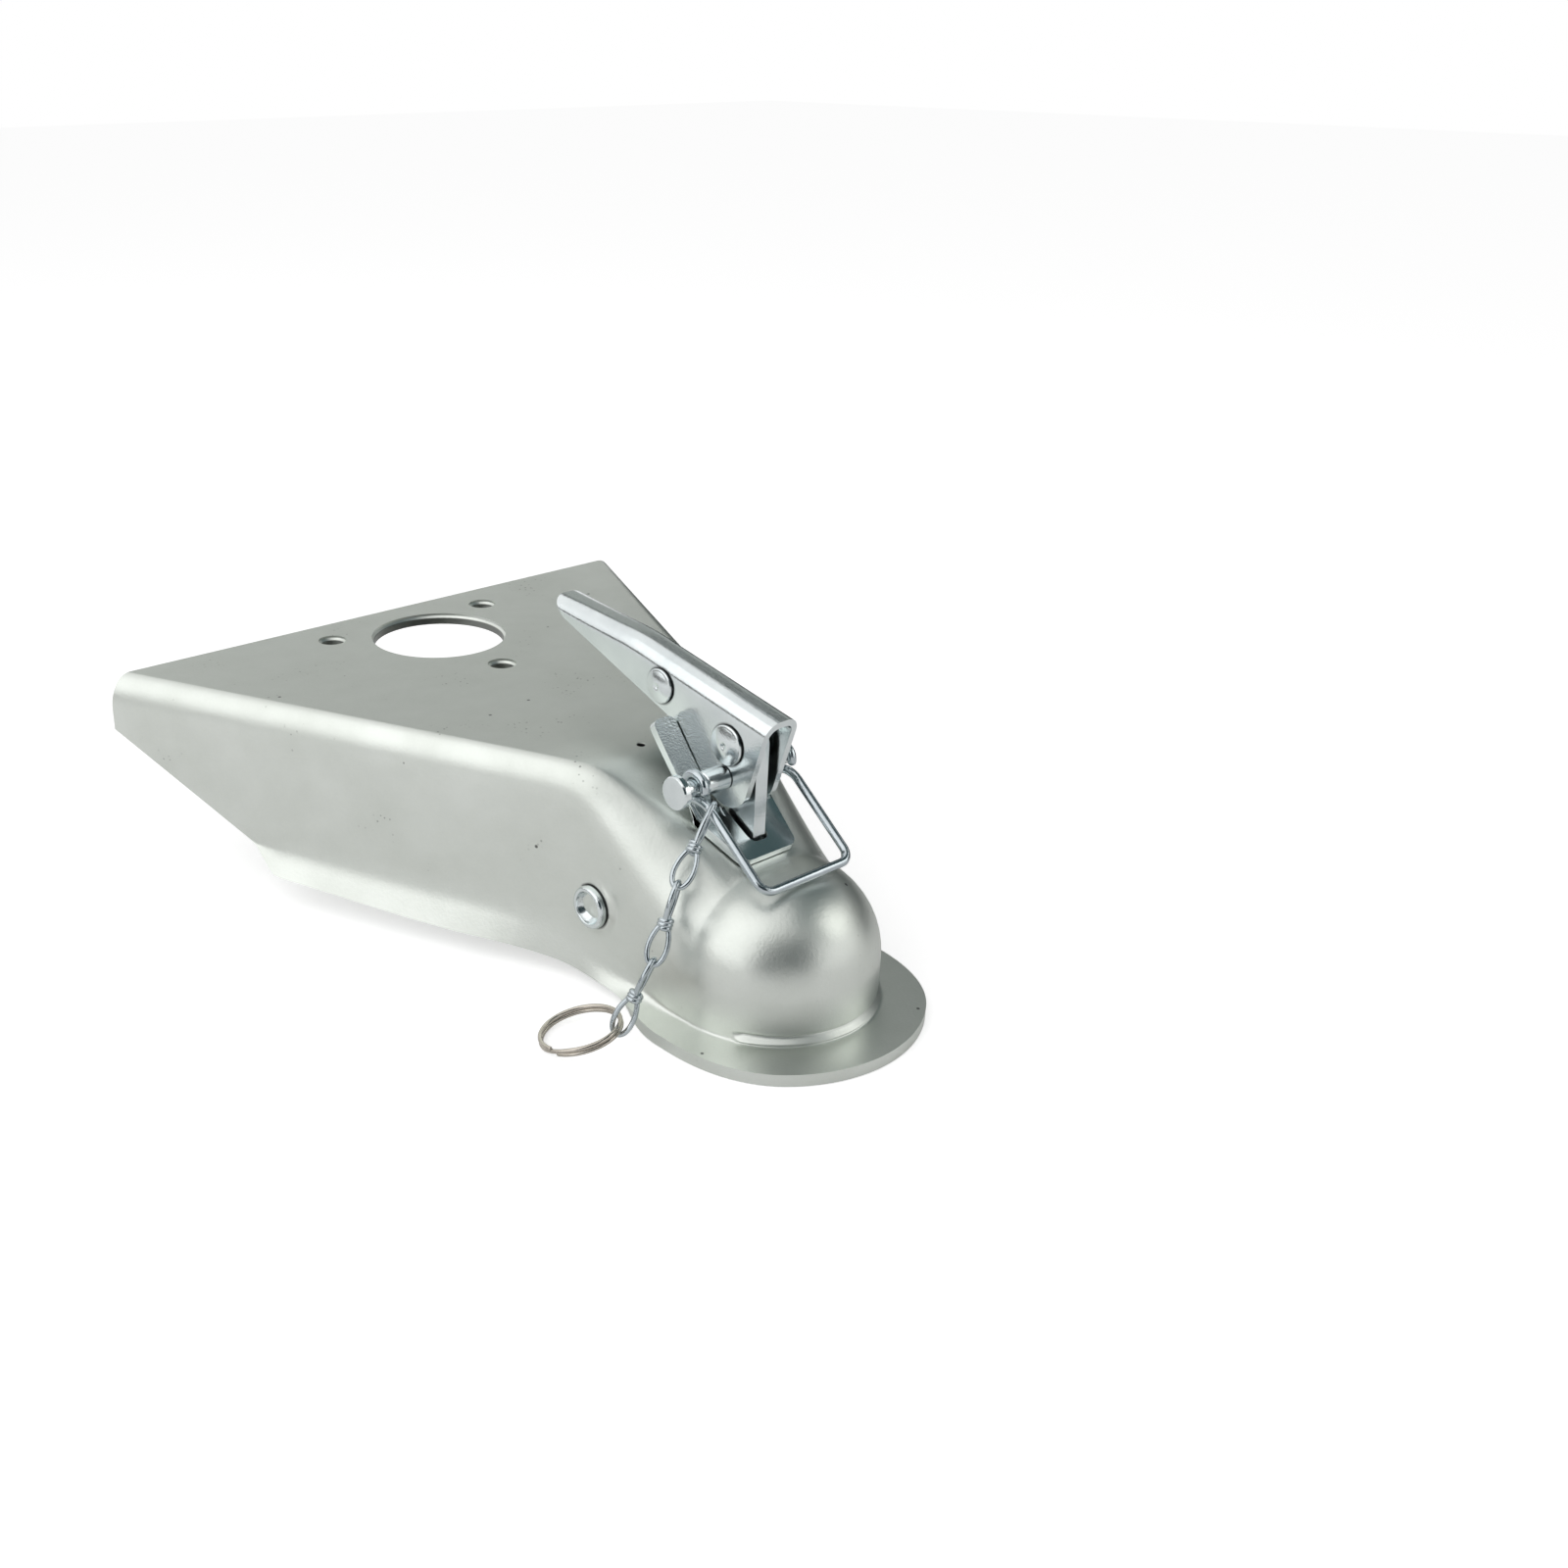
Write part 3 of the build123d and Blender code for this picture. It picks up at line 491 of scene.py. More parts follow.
def raise_boss(x, y, z):
    """Push the wall out to a flat round boss under the cross rivet's head."""
    away = np.hypot(y - BOSS_Y, z - BOSS_Z)
    share = np.clip((BOSS_RADIUS + BOSS_SLOPE - away) / BOSS_SLOPE, 0.0, 1.0)
    share = share * share * (3.0 - 2.0 * share)
    lift = np.maximum(BOSS_HALF_WIDTH - np.abs(x), 0.0) * share
    on_wall = np.abs(x) > 0.9 * DOME_RADIUS
    return x + np.sign(x) * np.where(on_wall, lift, 0.0)


def grid_faces(rows, columns, start=0, flip=False):
    """Quads of a rows by columns grid of points."""
    index = start + np.arange(rows * columns).reshape(rows, columns)
    corners = [index[:-1, :-1], index[1:, :-1], index[1:, 1:], index[:-1, 1:]]
    if flip:
        corners.reverse()
    return np.stack([c.ravel() for c in corners], axis=1)


def mesh_object(name, points, faces):
    """A mesh object at the origin from points in millimetres."""
    mesh = bpy.data.meshes.new(name)
    mesh.from_pydata((points * MM).tolist(), [], faces.tolist())
    obj = bpy.data.objects.new(name, mesh)
    bpy.context.scene.collection.objects.link(obj)
    return obj


def grid_object(name, *grids):
    """One closed mesh object from grids of points, its seams joined and its faces turned outwards."""
    start, points, faces = 0, [], []
    for grid in grids:
        points.append(grid.reshape(-1, 3))
        faces.append(grid_faces(*grid.shape[:2], start=start))
        start += len(points[-1])
    obj = mesh_object(name, np.vstack(points), np.vstack(faces))
    weld(obj, outwards=True)
    return obj


def weld(obj, distance=0.02, outwards=False):
    """Join points that meet, and turn the faces of a closed shape outwards."""
    work = bmesh.new()
    work.from_mesh(obj.data)
    bmesh.ops.remove_doubles(work, verts=work.verts, dist=distance * MM)
    bmesh.ops.dissolve_degenerate(work, edges=work.edges, dist=distance * MM)
    if outwards:
        bmesh.ops.recalc_face_normals(work, faces=work.faces)
    work.to_mesh(obj.data)
    work.free()


def bake_modifiers(obj):
    """Put the result of the modifiers in the mesh."""
    graph = bpy.context.evaluated_depsgraph_get()
    mesh = bpy.data.meshes.new_from_object(obj.evaluated_get(graph))
    obj.modifiers.clear()
    obj.data = mesh


def smooth(obj, angle=32.0):
    """Smooth shading with edges kept where faces turn by more than angle, and with large faces left flat."""
    obj.data.polygons.foreach_set("use_smooth", [True] * len(obj.data.polygons))
    obj.data.set_sharp_from_angle(angle=radians(angle))
    weights = obj.modifiers.new("weights", "WEIGHTED_NORMAL")
    weights.keep_sharp = True
    bake_modifiers(obj)


def dress(obj, body, slot, *nodes, finish=None):
    """Give a piece its finish, which is its slot's unless another is named, and its body, and hide the nodes
    that it stands for."""
    obj.data.materials.clear()
    obj.data.materials.append(MATERIALS[finish or slot])
    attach(obj, body)
    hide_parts(*nodes)


def thicken(obj, thickness):
    """Give a sheet its thickness, inwards from its outer face."""
    thick = obj.modifiers.new("sheet", "SOLIDIFY")
    thick.thickness = thickness * MM
    thick.offset = -1.0
    thick.use_quality_normals = True
    bake_modifiers(obj)


def round_edges(obj, width, angle):
    """Round the edges where faces turn by more than angle."""
    bevel = obj.modifiers.new("edges", "BEVEL")
    bevel.width = width * MM
    bevel.segments = 2
    bevel.limit_method = "ANGLE"
    bevel.angle_limit = radians(angle)
    bevel.use_clamp_overlap = True
    bake_modifiers(obj)


def turned(origin, axis, profile, sides=48):
    """Grid of a profile of (radius, distance along axis) turned once round the axis."""
    axis = unit(np.asarray(axis, dtype=float))
    first = unit(np.cross(axis, (0.31, 0.52, 0.79)))
    second = np.cross(axis, first)
    turn = np.linspace(0.0, 2 * pi, sides + 1)
    round_about = np.cos(turn)[:, None] * first + np.sin(turn)[:, None] * second
    profile = np.asarray(profile, dtype=float)
    grid = profile[:, 0][:, None, None] * round_about[None] + profile[:, 1][:, None, None] * axis
    return grid + np.asarray(origin, dtype=float)


def wire(path, normal, radius, closed, sides=12):
    """Grid of a round wire: a circle of radius square to the path at each point, domed at open ends.

    The circle's first direction is normal crossed with the path's run, so the wire doesn't twist."""
    if closed:
        run = unit(np.roll(path, -1, axis=0) - np.roll(path, 1, axis=0))
        path, run = np.vstack([path, path[:1]]), np.vstack([run, run[:1]])
        width = np.full(len(path), radius)
    else:
        run = unit(np.gradient(path, axis=0))
        dome = np.linspace(0.0, pi / 2, 5)
        head = path[0] - radius * np.cos(dome)[:, None] * run[0]
        tail = path[-1] + radius * np.sin(dome)[:, None] * run[-1]
        width = np.concatenate([radius * np.sin(dome), np.full(len(path), radius), radius * np.cos(dome)])
        path = np.vstack([head, path, tail])
        run = np.vstack([np.repeat(run[:1], 5, axis=0), run, np.repeat(run[-1:], 5, axis=0)])
    side = unit(np.cross(np.asarray(normal, dtype=float), run))
    up = np.cross(run, side)
    turn = np.linspace(0.0, 2 * pi, sides + 1)
    circle = np.cos(turn)[None, :, None] * side[:, None] + np.sin(turn)[None, :, None] * up[:, None]
    return path[:, None] + width[:, None, None] * circle


def rounded_line(points, radii, steps=8):
    """Line through points with each inner corner replaced by an arc of its radius, which touches the corner's
    two sides at its tangent length."""
    points = np.asarray(points, dtype=float)
    pieces = [points[:1]]
    share = np.linspace(0.0, 1.0, steps)[:, None]
    for before, corner, after, radius in zip(points, points[1:], points[2:], radii):
        back, ahead = unit(before - corner), unit(after - corner)
        half = np.arccos(np.clip(back @ ahead, -1.0, 1.0)) / 2
        reach = radius / tan(half)
        start, end = corner + back * reach, corner + ahead * reach
        centre = corner + unit(back + ahead) * (radius / sin(half))
        flat = start + (end - start) * share
        pieces.append(centre + unit(flat - centre) * radius)
    return np.vstack(pieces + [points[-1:]])


def spaced(line, count):
    """Line sampled at count even steps of its length."""
    steps = np.concatenate([[0.0], np.cumsum(np.linalg.norm(np.diff(line, axis=0), axis=1))])
    at = np.linspace(0.0, steps[-1], count)
    return np.stack([np.interp(at, steps, line[:, i]) for i in range(line.shape[1])], axis=1)


def round_cutter(name, x, y, z_low, z_high, radius, flare):
    """Upright cutter: a profile of radius against height turned about its axis, wider at the top by flare."""
    profile = [
        (0.0, z_low),
        (radius, z_low),
        (radius, z_high - 2 * flare - 0.001),
        (radius + flare, z_high - flare),
        (radius + flare, z_high + 4.0),
        (0.0, z_high + 4.0),
    ]
    return grid_object(name, turned((x, y, 0.0), (0, 0, 1), profile, 64))


def box_cutter(name, half_x, y_low, y_high, z_low, z_high):
    """Rectangular cutter."""
    x = np.array([-half_x, half_x])
    y = np.array([y_low, y_high])
    z = np.array([z_low, z_high])
    points = np.array([(a, b, c) for a in x for b in y for c in z])
    faces = [(0, 1, 3, 2), (4, 6, 7, 5), (0, 4, 5, 1), (2, 3, 7, 6), (0, 2, 6, 4), (1, 5, 7, 3)]
    return mesh_object(name, points, np.array(faces))


def housing_shell():
    """The stamping: stations along the neck and hood joined to the dome, which is the same half section
    turned half way round the ball's axis, with the flange widening to its full reach and the bead fading in;
    then the sheet's thickness, rounded edges and the holes."""
    neck = np.linspace(0.0, NECK_END, 72)
    hood = np.linspace(NECK_END, REAR_CUT_Y, 26)[1:]
    rear = np.linspace(REAR_CUT_Y, REAR_Y, 24)[1:]
    y = np.concatenate([neck, hood, rear])
    x, z = half_section(y)
    x = np.hstack([-x[:, :0:-1], x])
    z = np.hstack([z[:, :0:-1], z])
    along = y[:, None] + 0.0 * x
    sheet = np.stack([raise_boss(x, along, z), along, z], axis=2)
    dome_x, dome_z = half_section(np.zeros(1))
    bead = BEAD_HEIGHT * np.exp(-(((dome_z - BEAD_Z) / BEAD_SPREAD) ** 2)) * (dome_x < DOME_RADIUS + 2.0)
    bead -= GROOVE_DEPTH * np.exp(-(((dome_z - BEAD_Z - GROOVE_RISE) / BEAD_SPREAD) ** 2))
    turn = np.linspace(0.0, pi, 97)[:, None]
    bead_ends = (BEAD_START, 0.0), (BEAD_FULL, 1.0), (pi - BEAD_FULL, 1.0), (pi - BEAD_START, 0.0)
    flange_ends = (0.0, 0.0), (FLANGE_FULL, 1.0), (pi - FLANGE_FULL, 1.0), (pi, 0.0)
    widening = easy(turn, *flange_ends) * (1.0 / FLANGE_SIDE - 1.0)
    radius = dome_x + bead * easy(turn, *bead_ends) + np.maximum(dome_x - DOME_RADIUS, 0.0) * widening
    dome = np.stack([radius * np.cos(turn), -radius * np.sin(turn), dome_z + 0.0 * turn], axis=2)
    points = np.vstack([sheet.reshape(-1, 3), dome.reshape(-1, 3)])
    faces = [grid_faces(*sheet.shape[:2], flip=True), grid_faces(*dome.shape[:2], start=sheet.size // 3)]
    obj = mesh_object("housing_shell", points, np.vstack(faces))
    weld(obj)
    thicken(obj, SHEET)
    round_edges(obj, EDGE_ROUND, 60.0)
    cut_holes(obj)
    smooth(obj)
    dress(obj, "frame", "housing_zinc", "housing")


def cut_holes(obj):
    """Cut the jack hole, its bolt holes, the drain hole and the link's slot."""
    low = PLATE_HEIGHT - 3 * SHEET
    holes = [("jack_cut", 0.0, JACK_HOLE_Y, JACK_HOLE_RADIUS, EDGE_ROUND)]
    for bolt, place in enumerate(bolt_places()):
        holes.append((f"bolt_cut_{bolt}", *place, JACK_BOLT_RADIUS, EDGE_ROUND))
    holes.append(("drain_cut", *DRAIN_HOLE, DRAIN_FLARE))
    cutters = [round_cutter(name, x, y, low, PLATE_HEIGHT, r, flare) for name, x, y, r, flare in holes]
    half_x, front, back = LINK_SLOT
    cutters.append(box_cutter("slot_cut", half_x, front, back, DOME_TOP - 12.0, PLATE_HEIGHT + 10.0))
    for cutter in cutters:
        cut = obj.modifiers.new(cutter.name, "BOOLEAN")
        cut.operation = "DIFFERENCE"
        cut.solver = "EXACT"
        cut.object = cutter
    bake_modifiers(obj)
    for cutter in cutters:
        bpy.data.objects.remove(cutter, do_unlink=True)


def folded_lever():
    """The handle: at each station a straight line falls from the spine to the foot line, and the sheet runs
    up one wall, round the fold by a quarter circle, across the spine and down the other wall. The far wall
    stops short at the grip."""
    foot = [LEVER_FRONT, LEVER_NOSE, LEVER_LOBE, LEVER_HEEL, LEVER_TIP_LOW, LEVER_TIP]
    foot = rounded_line(foot, FOOT_RADII, 10)[1:-1]
    low = spaced(foot, 90)
    spine = rounded_line([LEVER_FRONT, LEVER_BEND, LEVER_TIP], (SPINE_RADIUS,), 16)
    matched = np.interp(low[:, 0], FOOT_Y, SPINE_Y)
    matched = np.maximum.accumulate(matched + np.linspace(0.0, 1e-3, len(matched)))
    top = np.stack([matched, np.interp(matched, spine[:, 0], spine[:, 1])], axis=1)
    fall = low - top
    depth = np.linalg.norm(fall, axis=1)[:, None]
    fall = unit(fall)
    cut_back = easy(top[:, :1], (GRIP_CUT[0], 0.0), (GRIP_CUT[1], 1.0))
    far_depth = depth + (np.minimum(depth, GRIP_LIP) - depth) * cut_back
    share = np.linspace(0.0, 1.0, 12)[None, :]
    turn = share * pi / 2
    fold = np.minimum(LEVER_FOLD, 0.9 * depth)
    bend_x = LEVER_HALF_WIDTH - LEVER_FOLD + LEVER_FOLD * np.sin(turn) + 0.0 * depth
    bend_d = fold * (1.0 - np.cos(turn))
    near_d = fold + (depth - fold) * share
    far_d = fold + (np.maximum(far_depth, fold + 0.2) - fold) * share
    wall_x = LEVER_HALF_WIDTH + 0.0 * near_d
    x = np.hstack([-wall_x[:, ::-1], -bend_x[:, -2::-1], bend_x, wall_x[:, 1:]])
    down = np.hstack([near_d[:, ::-1], bend_d[:, -2::-1], bend_d, far_d[:, 1:]])
    y = top[:, :1] + fall[:, :1] * down
    z = top[:, 1:] + fall[:, 1:] * down
    sheet = np.stack([x, y, z], axis=2)
    obj = mesh_object("lever_sheet", sheet.reshape(-1, 3), grid_faces(*sheet.shape[:2], flip=True))
    weld(obj)
    thicken(obj, LEVER_SHEET)
    round_edges(obj, LEVER_EDGE, 60.0)
    smooth(obj)
    dress(obj, "handle", "latch_zinc", "lever")


def rivet_head(radius):
    """Profile of a pressed rivet head from its rim to its middle, as (radius, height): a narrow gap under the
    rim, a rounded edge, and a dome over half the height that falls with the square of the radius, less a
    dimple in its middle."""
    edge = np.linspace(0.0, pi / 2, 7)
    side = 0.5 * RIVET_HEIGHT
    inner = radius - RIVET_RIM
    outer_r = inner + RIVET_RIM * np.cos(edge)
    outer_z = RIVET_GAP + (side - RIVET_GAP) * np.sin(edge)
    r = np.linspace(inner, 0.0, 16)[1:]
    crown = side + side * (1.0 - (r / inner) ** 2)
    crown -= RIVET_DIMPLE * np.exp(-((r / (0.16 * inner)) ** 2))
    foot = radius - RIVET_UNDERCUT
    below = [(foot, 0.0), (foot, RIVET_FOOT)]
    return np.vstack([below, np.stack([outer_r, outer_z], axis=1), np.stack([r, crown], axis=1)])


def both_ends(head, shank, half):
    """Profile of a rivet with a head on each side: the head's profile out from half, the shank of its radius
    to the middle, and the same mirrored."""
    outside = np.stack([head[::-1, 0], half + head[::-1, 1]], axis=1)
    one = np.vstack([outside, [(shank, half - 0.02), (shank, 0.0)]])
    return np.vstack([one, np.stack([one[::-1, 0], -one[::-1, 1]], axis=1)[1:]])


def lever_rivets():
    """Rivets through both walls of the lever, a pressed head on each side."""
    for node, (y, z), shank, head in (
        ("lever_rivet", LEVER_PIVOT, PIVOT_SHANK, PIVOT_HEAD),
        ("grip_rivet", GRIP_RIVET, GRIP_SHANK, GRIP_HEAD),
    ):
        whole = both_ends(rivet_head(head), shank, LEVER_HALF_WIDTH)
        obj = grid_object(f"{node}_pressed", turned((0.0, y, z), (1, 0, 0), whole))
        smooth(obj, 40.0)
        dress(obj, "handle", "latch_zinc", node)


def cross_rivet():
    """Rivet across the neck: a rounded rim round a cone-shaped dish with a small hole at each end."""
    edge = np.linspace(0.0, pi / 2, 8)
    rim_r = CROSS_HEAD - CROSS_RIM + CROSS_RIM * np.cos(edge)
    rim_z = 0.5 * CROSS_HEIGHT * (1.0 + np.sin(edge))
    lip_r = CROSS_LIP - CROSS_LIP_ROUND * np.sin(edge)
    lip_z = CROSS_HEIGHT - CROSS_LIP_ROUND * (1.0 - np.cos(edge))
    rim, lip = np.stack([rim_r, rim_z], axis=1), np.stack([lip_r, lip_z], axis=1)
    whole = both_ends(np.vstack([CROSS_FOOT, rim, lip, CROSS_DISH]), CROSS_SHANK, BOSS_HALF_WIDTH)
    obj = grid_object("cross_rivet_pressed", turned((0.0, BOSS_Y, BOSS_Z), (1, 0, 0), whole, 64))
    smooth(obj, 34.0)
    dress(obj, "frame", "latch_zinc", "cross_rivet")


def spacers():
    """Sleeves on the cross rivet: a wall between two radii with eased ends, turned round the rivet."""
    start, end = SPACER_SPAN
    outer = SPACER_BORE + SPACER_WALL
    profile = [
        (SPACER_BORE, start),
        (outer - SPACER_EASE, start),
        (outer, start + SPACER_EASE),
        (outer, end - SPACER_EASE),
        (outer - SPACER_EASE, end),
        (SPACER_BORE, end),
        (SPACER_BORE, start),
    ]
    for node, side in (("left_spacer", 1), ("right_spacer", -1)):
        obj = grid_object(f"{node}_turned", turned((0.0, BOSS_Y, BOSS_Z), (side, 0, 0), profile))
        smooth(obj)
        dress(obj, "frame", "latch_zinc", node)


def lock_pin():
    """Headed pin across the lever: a flat disc with eased edges, a shank with a collar and a chamfered
    tip."""
    start, end = PIN_COLLAR_SPAN
    profile = [
        (0.0, PIN_SEAT - PIN_THICK),
        *[(PIN_DISC - inwards, PIN_SEAT - out) for inwards, out in PIN_EDGE],
        (PIN_SHANK + PIN_FILLET, PIN_SEAT),
        (PIN_SHANK, PIN_SEAT + PIN_FILLET),
        (PIN_SHANK, start),
        (PIN_COLLAR - PIN_COLLAR_EASE, start),
        (PIN_COLLAR, start + PIN_COLLAR_EASE),
        (PIN_COLLAR, end),
        (PIN_SHANK, end),
        (PIN_SHANK, PIN_TIP - PIN_CHAMFER),
        (PIN_SHANK - PIN_CHAMFER, PIN_TIP),
        (0.0, PIN_TIP),
    ]
    obj = grid_object("lock_pin_turned", turned((0.0, *LOCK_PIN), (1, 0, 0), profile))
    smooth(obj)
    dress(obj, "pin", "latch_zinc", "lock_pin")


def link_pin():
    """Pin in the clamp's fork, chamfered at both ends."""
    half, inner = LINK_PIN_HALF, LINK_PIN_RADIUS - LINK_PIN_CHAMFER
    profile = [
        (0.0, -half),
        (inner, -half),
        (LINK_PIN_RADIUS, LINK_PIN_CHAMFER - half),
        (LINK_PIN_RADIUS, half - LINK_PIN_CHAMFER),
        (inner, half),
        (0.0, half),
    ]
    middle = (0.0, LEVER_PIVOT[0], LEVER_PIVOT[1] - LINK_PIN_DROP)
    obj = grid_object("link_pin_turned", turned(middle, (1, 0, 0), profile))
    smooth(obj)
    dress(obj, "clamp", "latch_zinc", "link_pin")


def bail_point(x, along, aside):
    """Point on the bail: along its leg from the lock pin's axis, and aside from the leg in its upright
    plane."""
    run = unit(np.array(BAIL_LEG))
    y = LOCK_PIN[0] + run[0] * along - run[1] * aside
    z = LOCK_PIN[1] + run[1] * along + run[0] * aside
    return np.stack([x + 0.0 * y, y, z], axis=-1)


def wire_bail():
    """The bail: an eye bent round each end of the pin that closes in on its leg, two legs and a front bar."""
    length = hypot(*BAIL_LEG)
    bend = np.linspace(radians(-BAIL_EYE_GAP), radians(BAIL_EYE_GAP - 360.0), 40)
    eye_along, eye_aside = BAIL_EYE * np.cos(bend), BAIL_EYE * np.sin(bend)
    join = np.linspace(0.0, 1.0, 8)[1:]
    along = np.concatenate([eye_along, eye_along[-1] + (BAIL_JOIN - eye_along[-1]) * join])
    aside = np.concatenate([eye_aside, eye_aside[-1] * (1.0 - join) ** 2])
    near = bail_point(-BAIL_HALF_WIDTH, along, aside)
    far = bail_point(BAIL_HALF_WIDTH, along, aside)[::-1]
    corners = bail_point(np.array([-1.0, 1.0]) * BAIL_HALF_WIDTH, np.full(2, length), np.zeros(2))
    front = rounded_line([near[-1], *corners, far[0]], (BAIL_CORNER, BAIL_CORNER), 10)
    run = unit(np.array([0.0, *BAIL_LEG]))
    across = np.cross(run, (1.0, 0.0, 0.0))
    grids = [
        wire(near, (1, 0, 0), BAIL_WIRE / 2, False),
        wire(far, (1, 0, 0), BAIL_WIRE / 2, False),
        wire(spaced(front, 90), across, BAIL_WIRE / 2, False),
    ]
    obj = grid_object("bail_wire", *grids)
    smooth(obj, 60.0)
    # The bail takes the darker zinc, whose tints are painted shade
    dress(obj, "bail", "latch_zinc", "lock_bail", finish="wire_zinc_painted_shade")


def chain_frames():
    """Top point, run and first loop's direction of each link, and where the ring hangs."""
    leg = unit(np.array([0.0, *BAIL_LEG]))
    point = np.array([-BAIL_HALF_WIDTH, *LOCK_PIN]) + leg * CHAIN_HANG
    wide = leg
    links = []
    for lean, heading in CHAIN_ANGLES:
        out, turn = sin(radians(lean)), radians(heading)
        down = np.array([-out * cos(turn), out * sin(turn), -cos(radians(lean))])
        first = unit(np.cross(down, wide))
        wide = unit(np.cross(down, first))
        links.append((point, down, first, wide))
        point = point + down * CHAIN_PITCH
    return links, point + down * (CHAIN_GRIP - RING_SEAT)


def chain_loop(middle, along, wide, reach):
    """Wire loop from the knot: a long drop, narrow at the knot and round at its end.

    Round the loop by an angle, the distance along is half the reach times one minus its cosine, and the width
    is its sine, drawn in near the knot. The loop starts a little behind the knot's middle."""
    turn = np.linspace(0.0, 2 * pi, 57)[:-1]
    share = (1.0 - np.cos(turn)) / 2
    aside = CHAIN_WIDTH / 2 * np.sin(turn) * (LOOP_NECK + LOOP_BELLY * np.sqrt(share))
    path = middle + (reach + LOOP_TUCK) * share[:, None] * along - LOOP_TUCK * along + aside[:, None] * wide
    return wire(path, np.cross(along, wide), CHAIN_WIRE / 2, True, 10)


def chain_knot(middle, along, wide):
    """Wire wound round the link's middle: a helix of two and a half turns."""
    turn = np.linspace(0.0, 2 * pi * KNOT_TURNS, 56)
    up = np.cross(along, wide)
    path = middle + np.linspace(-0.5, 0.5, 56)[:, None] * KNOT_LENGTH * along
    path = path + KNOT_RADIUS * (np.cos(turn)[:, None] * wide + np.sin(turn)[:, None] * up)
    return wire(path, along, CHAIN_WIRE / 2, False, 10)


def chain():
    """Wire links, each two loops square to each other and a wound knot between them."""
    links, _ = chain_frames()
    for number, (point, down, first, second) in enumerate(links):
        middle = point + down * CHAIN_PITCH / 2
        above = CHAIN_BAIL_GRIP if number == 0 else CHAIN_GRIP
        grids = [
            chain_loop(middle, -down, first, CHAIN_PITCH / 2 + above),
            chain_loop(middle, down, second, CHAIN_PITCH / 2 + CHAIN_GRIP),
            chain_knot(middle, down, first),
        ]
        obj = grid_object(f"chain_wire_{number + 1}", *grids)
        smooth(obj, 60.0)
        # The chain takes the darker zinc, whose tints are painted shade
        dress(obj, f"chain_{'abc'[number]}", "latch_zinc", f"chain_link_{number + 1}", finish="wire_zinc_painted_shade")


def split_ring():
    """Ring of two turns of wire, hung from the chain and sloping down to the floor: the angle runs twice
    round, and the wire steps over by one pitch half way."""
    _, seat = chain_frames()
    slope = (seat[2] - FLOOR - (RING_PITCH + RING_WIRE) / 2) / (2 * RING_TURN)
    level = sqrt(1.0 - slope**2)
    heading = radians(RING_HEADING)
    out = np.array([-cos(heading), sin(heading), 0.0])
    up = np.array([0.0, 0.0, 1.0])
    away = out * level - up * slope
    axis = out * slope + up * level
    middle = seat + away * RING_TURN
    aside = np.cross(axis, away)
    turn = np.linspace(RING_GAP * pi, (4.0 - RING_GAP) * pi, 190)
    step = easy(turn, (1.8 * pi, -0.5), (2.2 * pi, 0.5)) * RING_PITCH
    round_about = np.cos(turn + RING_START)[:, None] * away + np.sin(turn + RING_START)[:, None] * aside
    path = middle + RING_TURN * round_about + step[:, None] * axis
    obj = grid_object("ring_wire", wire(path, axis, RING_WIRE / 2, False))
    smooth(obj, 60.0)
    dress(obj, "ring", "ring_nickel", "split_ring")


def refined(node, body, slot, round_edge, corner=0.0):
    """A piece from the node's own solid: its points joined, the sheet's outer corners rounded, its edges
    eased and its curves shaded smooth."""
    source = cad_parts[node]
    obj = bpy.data.objects.new(f"{node}_dressed", source.data.copy())
    bpy.context.scene.collection.objects.link(obj)
    weld(obj, 0.005)
    work = bmesh.new()
    work.from_mesh(obj.data)
    bmesh.ops.dissolve_limit(work, angle_limit=radians(2.0), verts=work.verts, edges=work.edges)
    if corner:
        limit = PLATE_EDGE * MM
        short = [e for e in work.edges if e.calc_length() < limit and e.calc_face_angle(0.0) > 1.0]
        bmesh.ops.bevel(work, geom=short, offset=corner * MM, segments=4, profile=0.5, affect="EDGES")
    work.to_mesh(obj.data)
    work.free()
    round_edges(obj, round_edge, 40.0)
    smooth(obj, 30.0)
    dress(obj, body, slot, node)


MATERIALS = make_materials()

housing_shell()
folded_lever()
lever_rivets()
cross_rivet()
spacers()
lock_pin()
link_pin()
wire_bail()
chain()
split_ring()
refined("saddle", "frame", "latch_zinc", PLATE_EASE, SADDLE_CORNER)
refined("draw_link", "link", "latch_zinc", PLATE_EASE)
refined("ball_clamp", "clamp", "latch_zinc", CLAMP_EASE)


def stage_sheet(name, centre, facing, width, height, finish):
    """Flat stage sheet: corners at half its width and height from its centre, square to facing."""
    facing = unit(np.asarray(facing, dtype=float))
    side = unit(np.cross((0.0, 0.02, 1.0), facing))
    up = np.cross(facing, side)
    across = np.array([-0.5, 0.5, 0.5, -0.5])[:, None] * width * side
    along = np.array([-0.5, -0.5, 0.5, 0.5])[:, None] * height * up
    obj = mesh_object(name, np.asarray(centre, dtype=float) + across + along, np.array([(0, 1, 2, 3)]))
    obj.data.materials.append(finish)
    return obj


def floor_finish():
    """Pale floor that keeps the shadow, lifted to white for the camera."""
    finish = Finish("pale_floor")
    seen = finish.node("ShaderNodeLightPath", {}, (), "Is Camera Ray")
    diffuse = finish.node("ShaderNodeBsdfDiffuse", {}, {"Color": (FLOOR_TONE, FLOOR_TONE, FLOOR_TONE, 1.0)})
    glow = finish.node("ShaderNodeEmission", {}, {"Color": (1.0, 1.0, 1.0, 1.0), "Strength": FLOOR_LIFT})
    bright = finish.node("ShaderNodeAddShader", {}, (diffuse, glow))
    shown = finish.node("ShaderNodeMixShader", {}, (seen, diffuse, bright))
    finish.node("ShaderNodeOutputMaterial", {}, {"Surface": shown})
    return finish.material


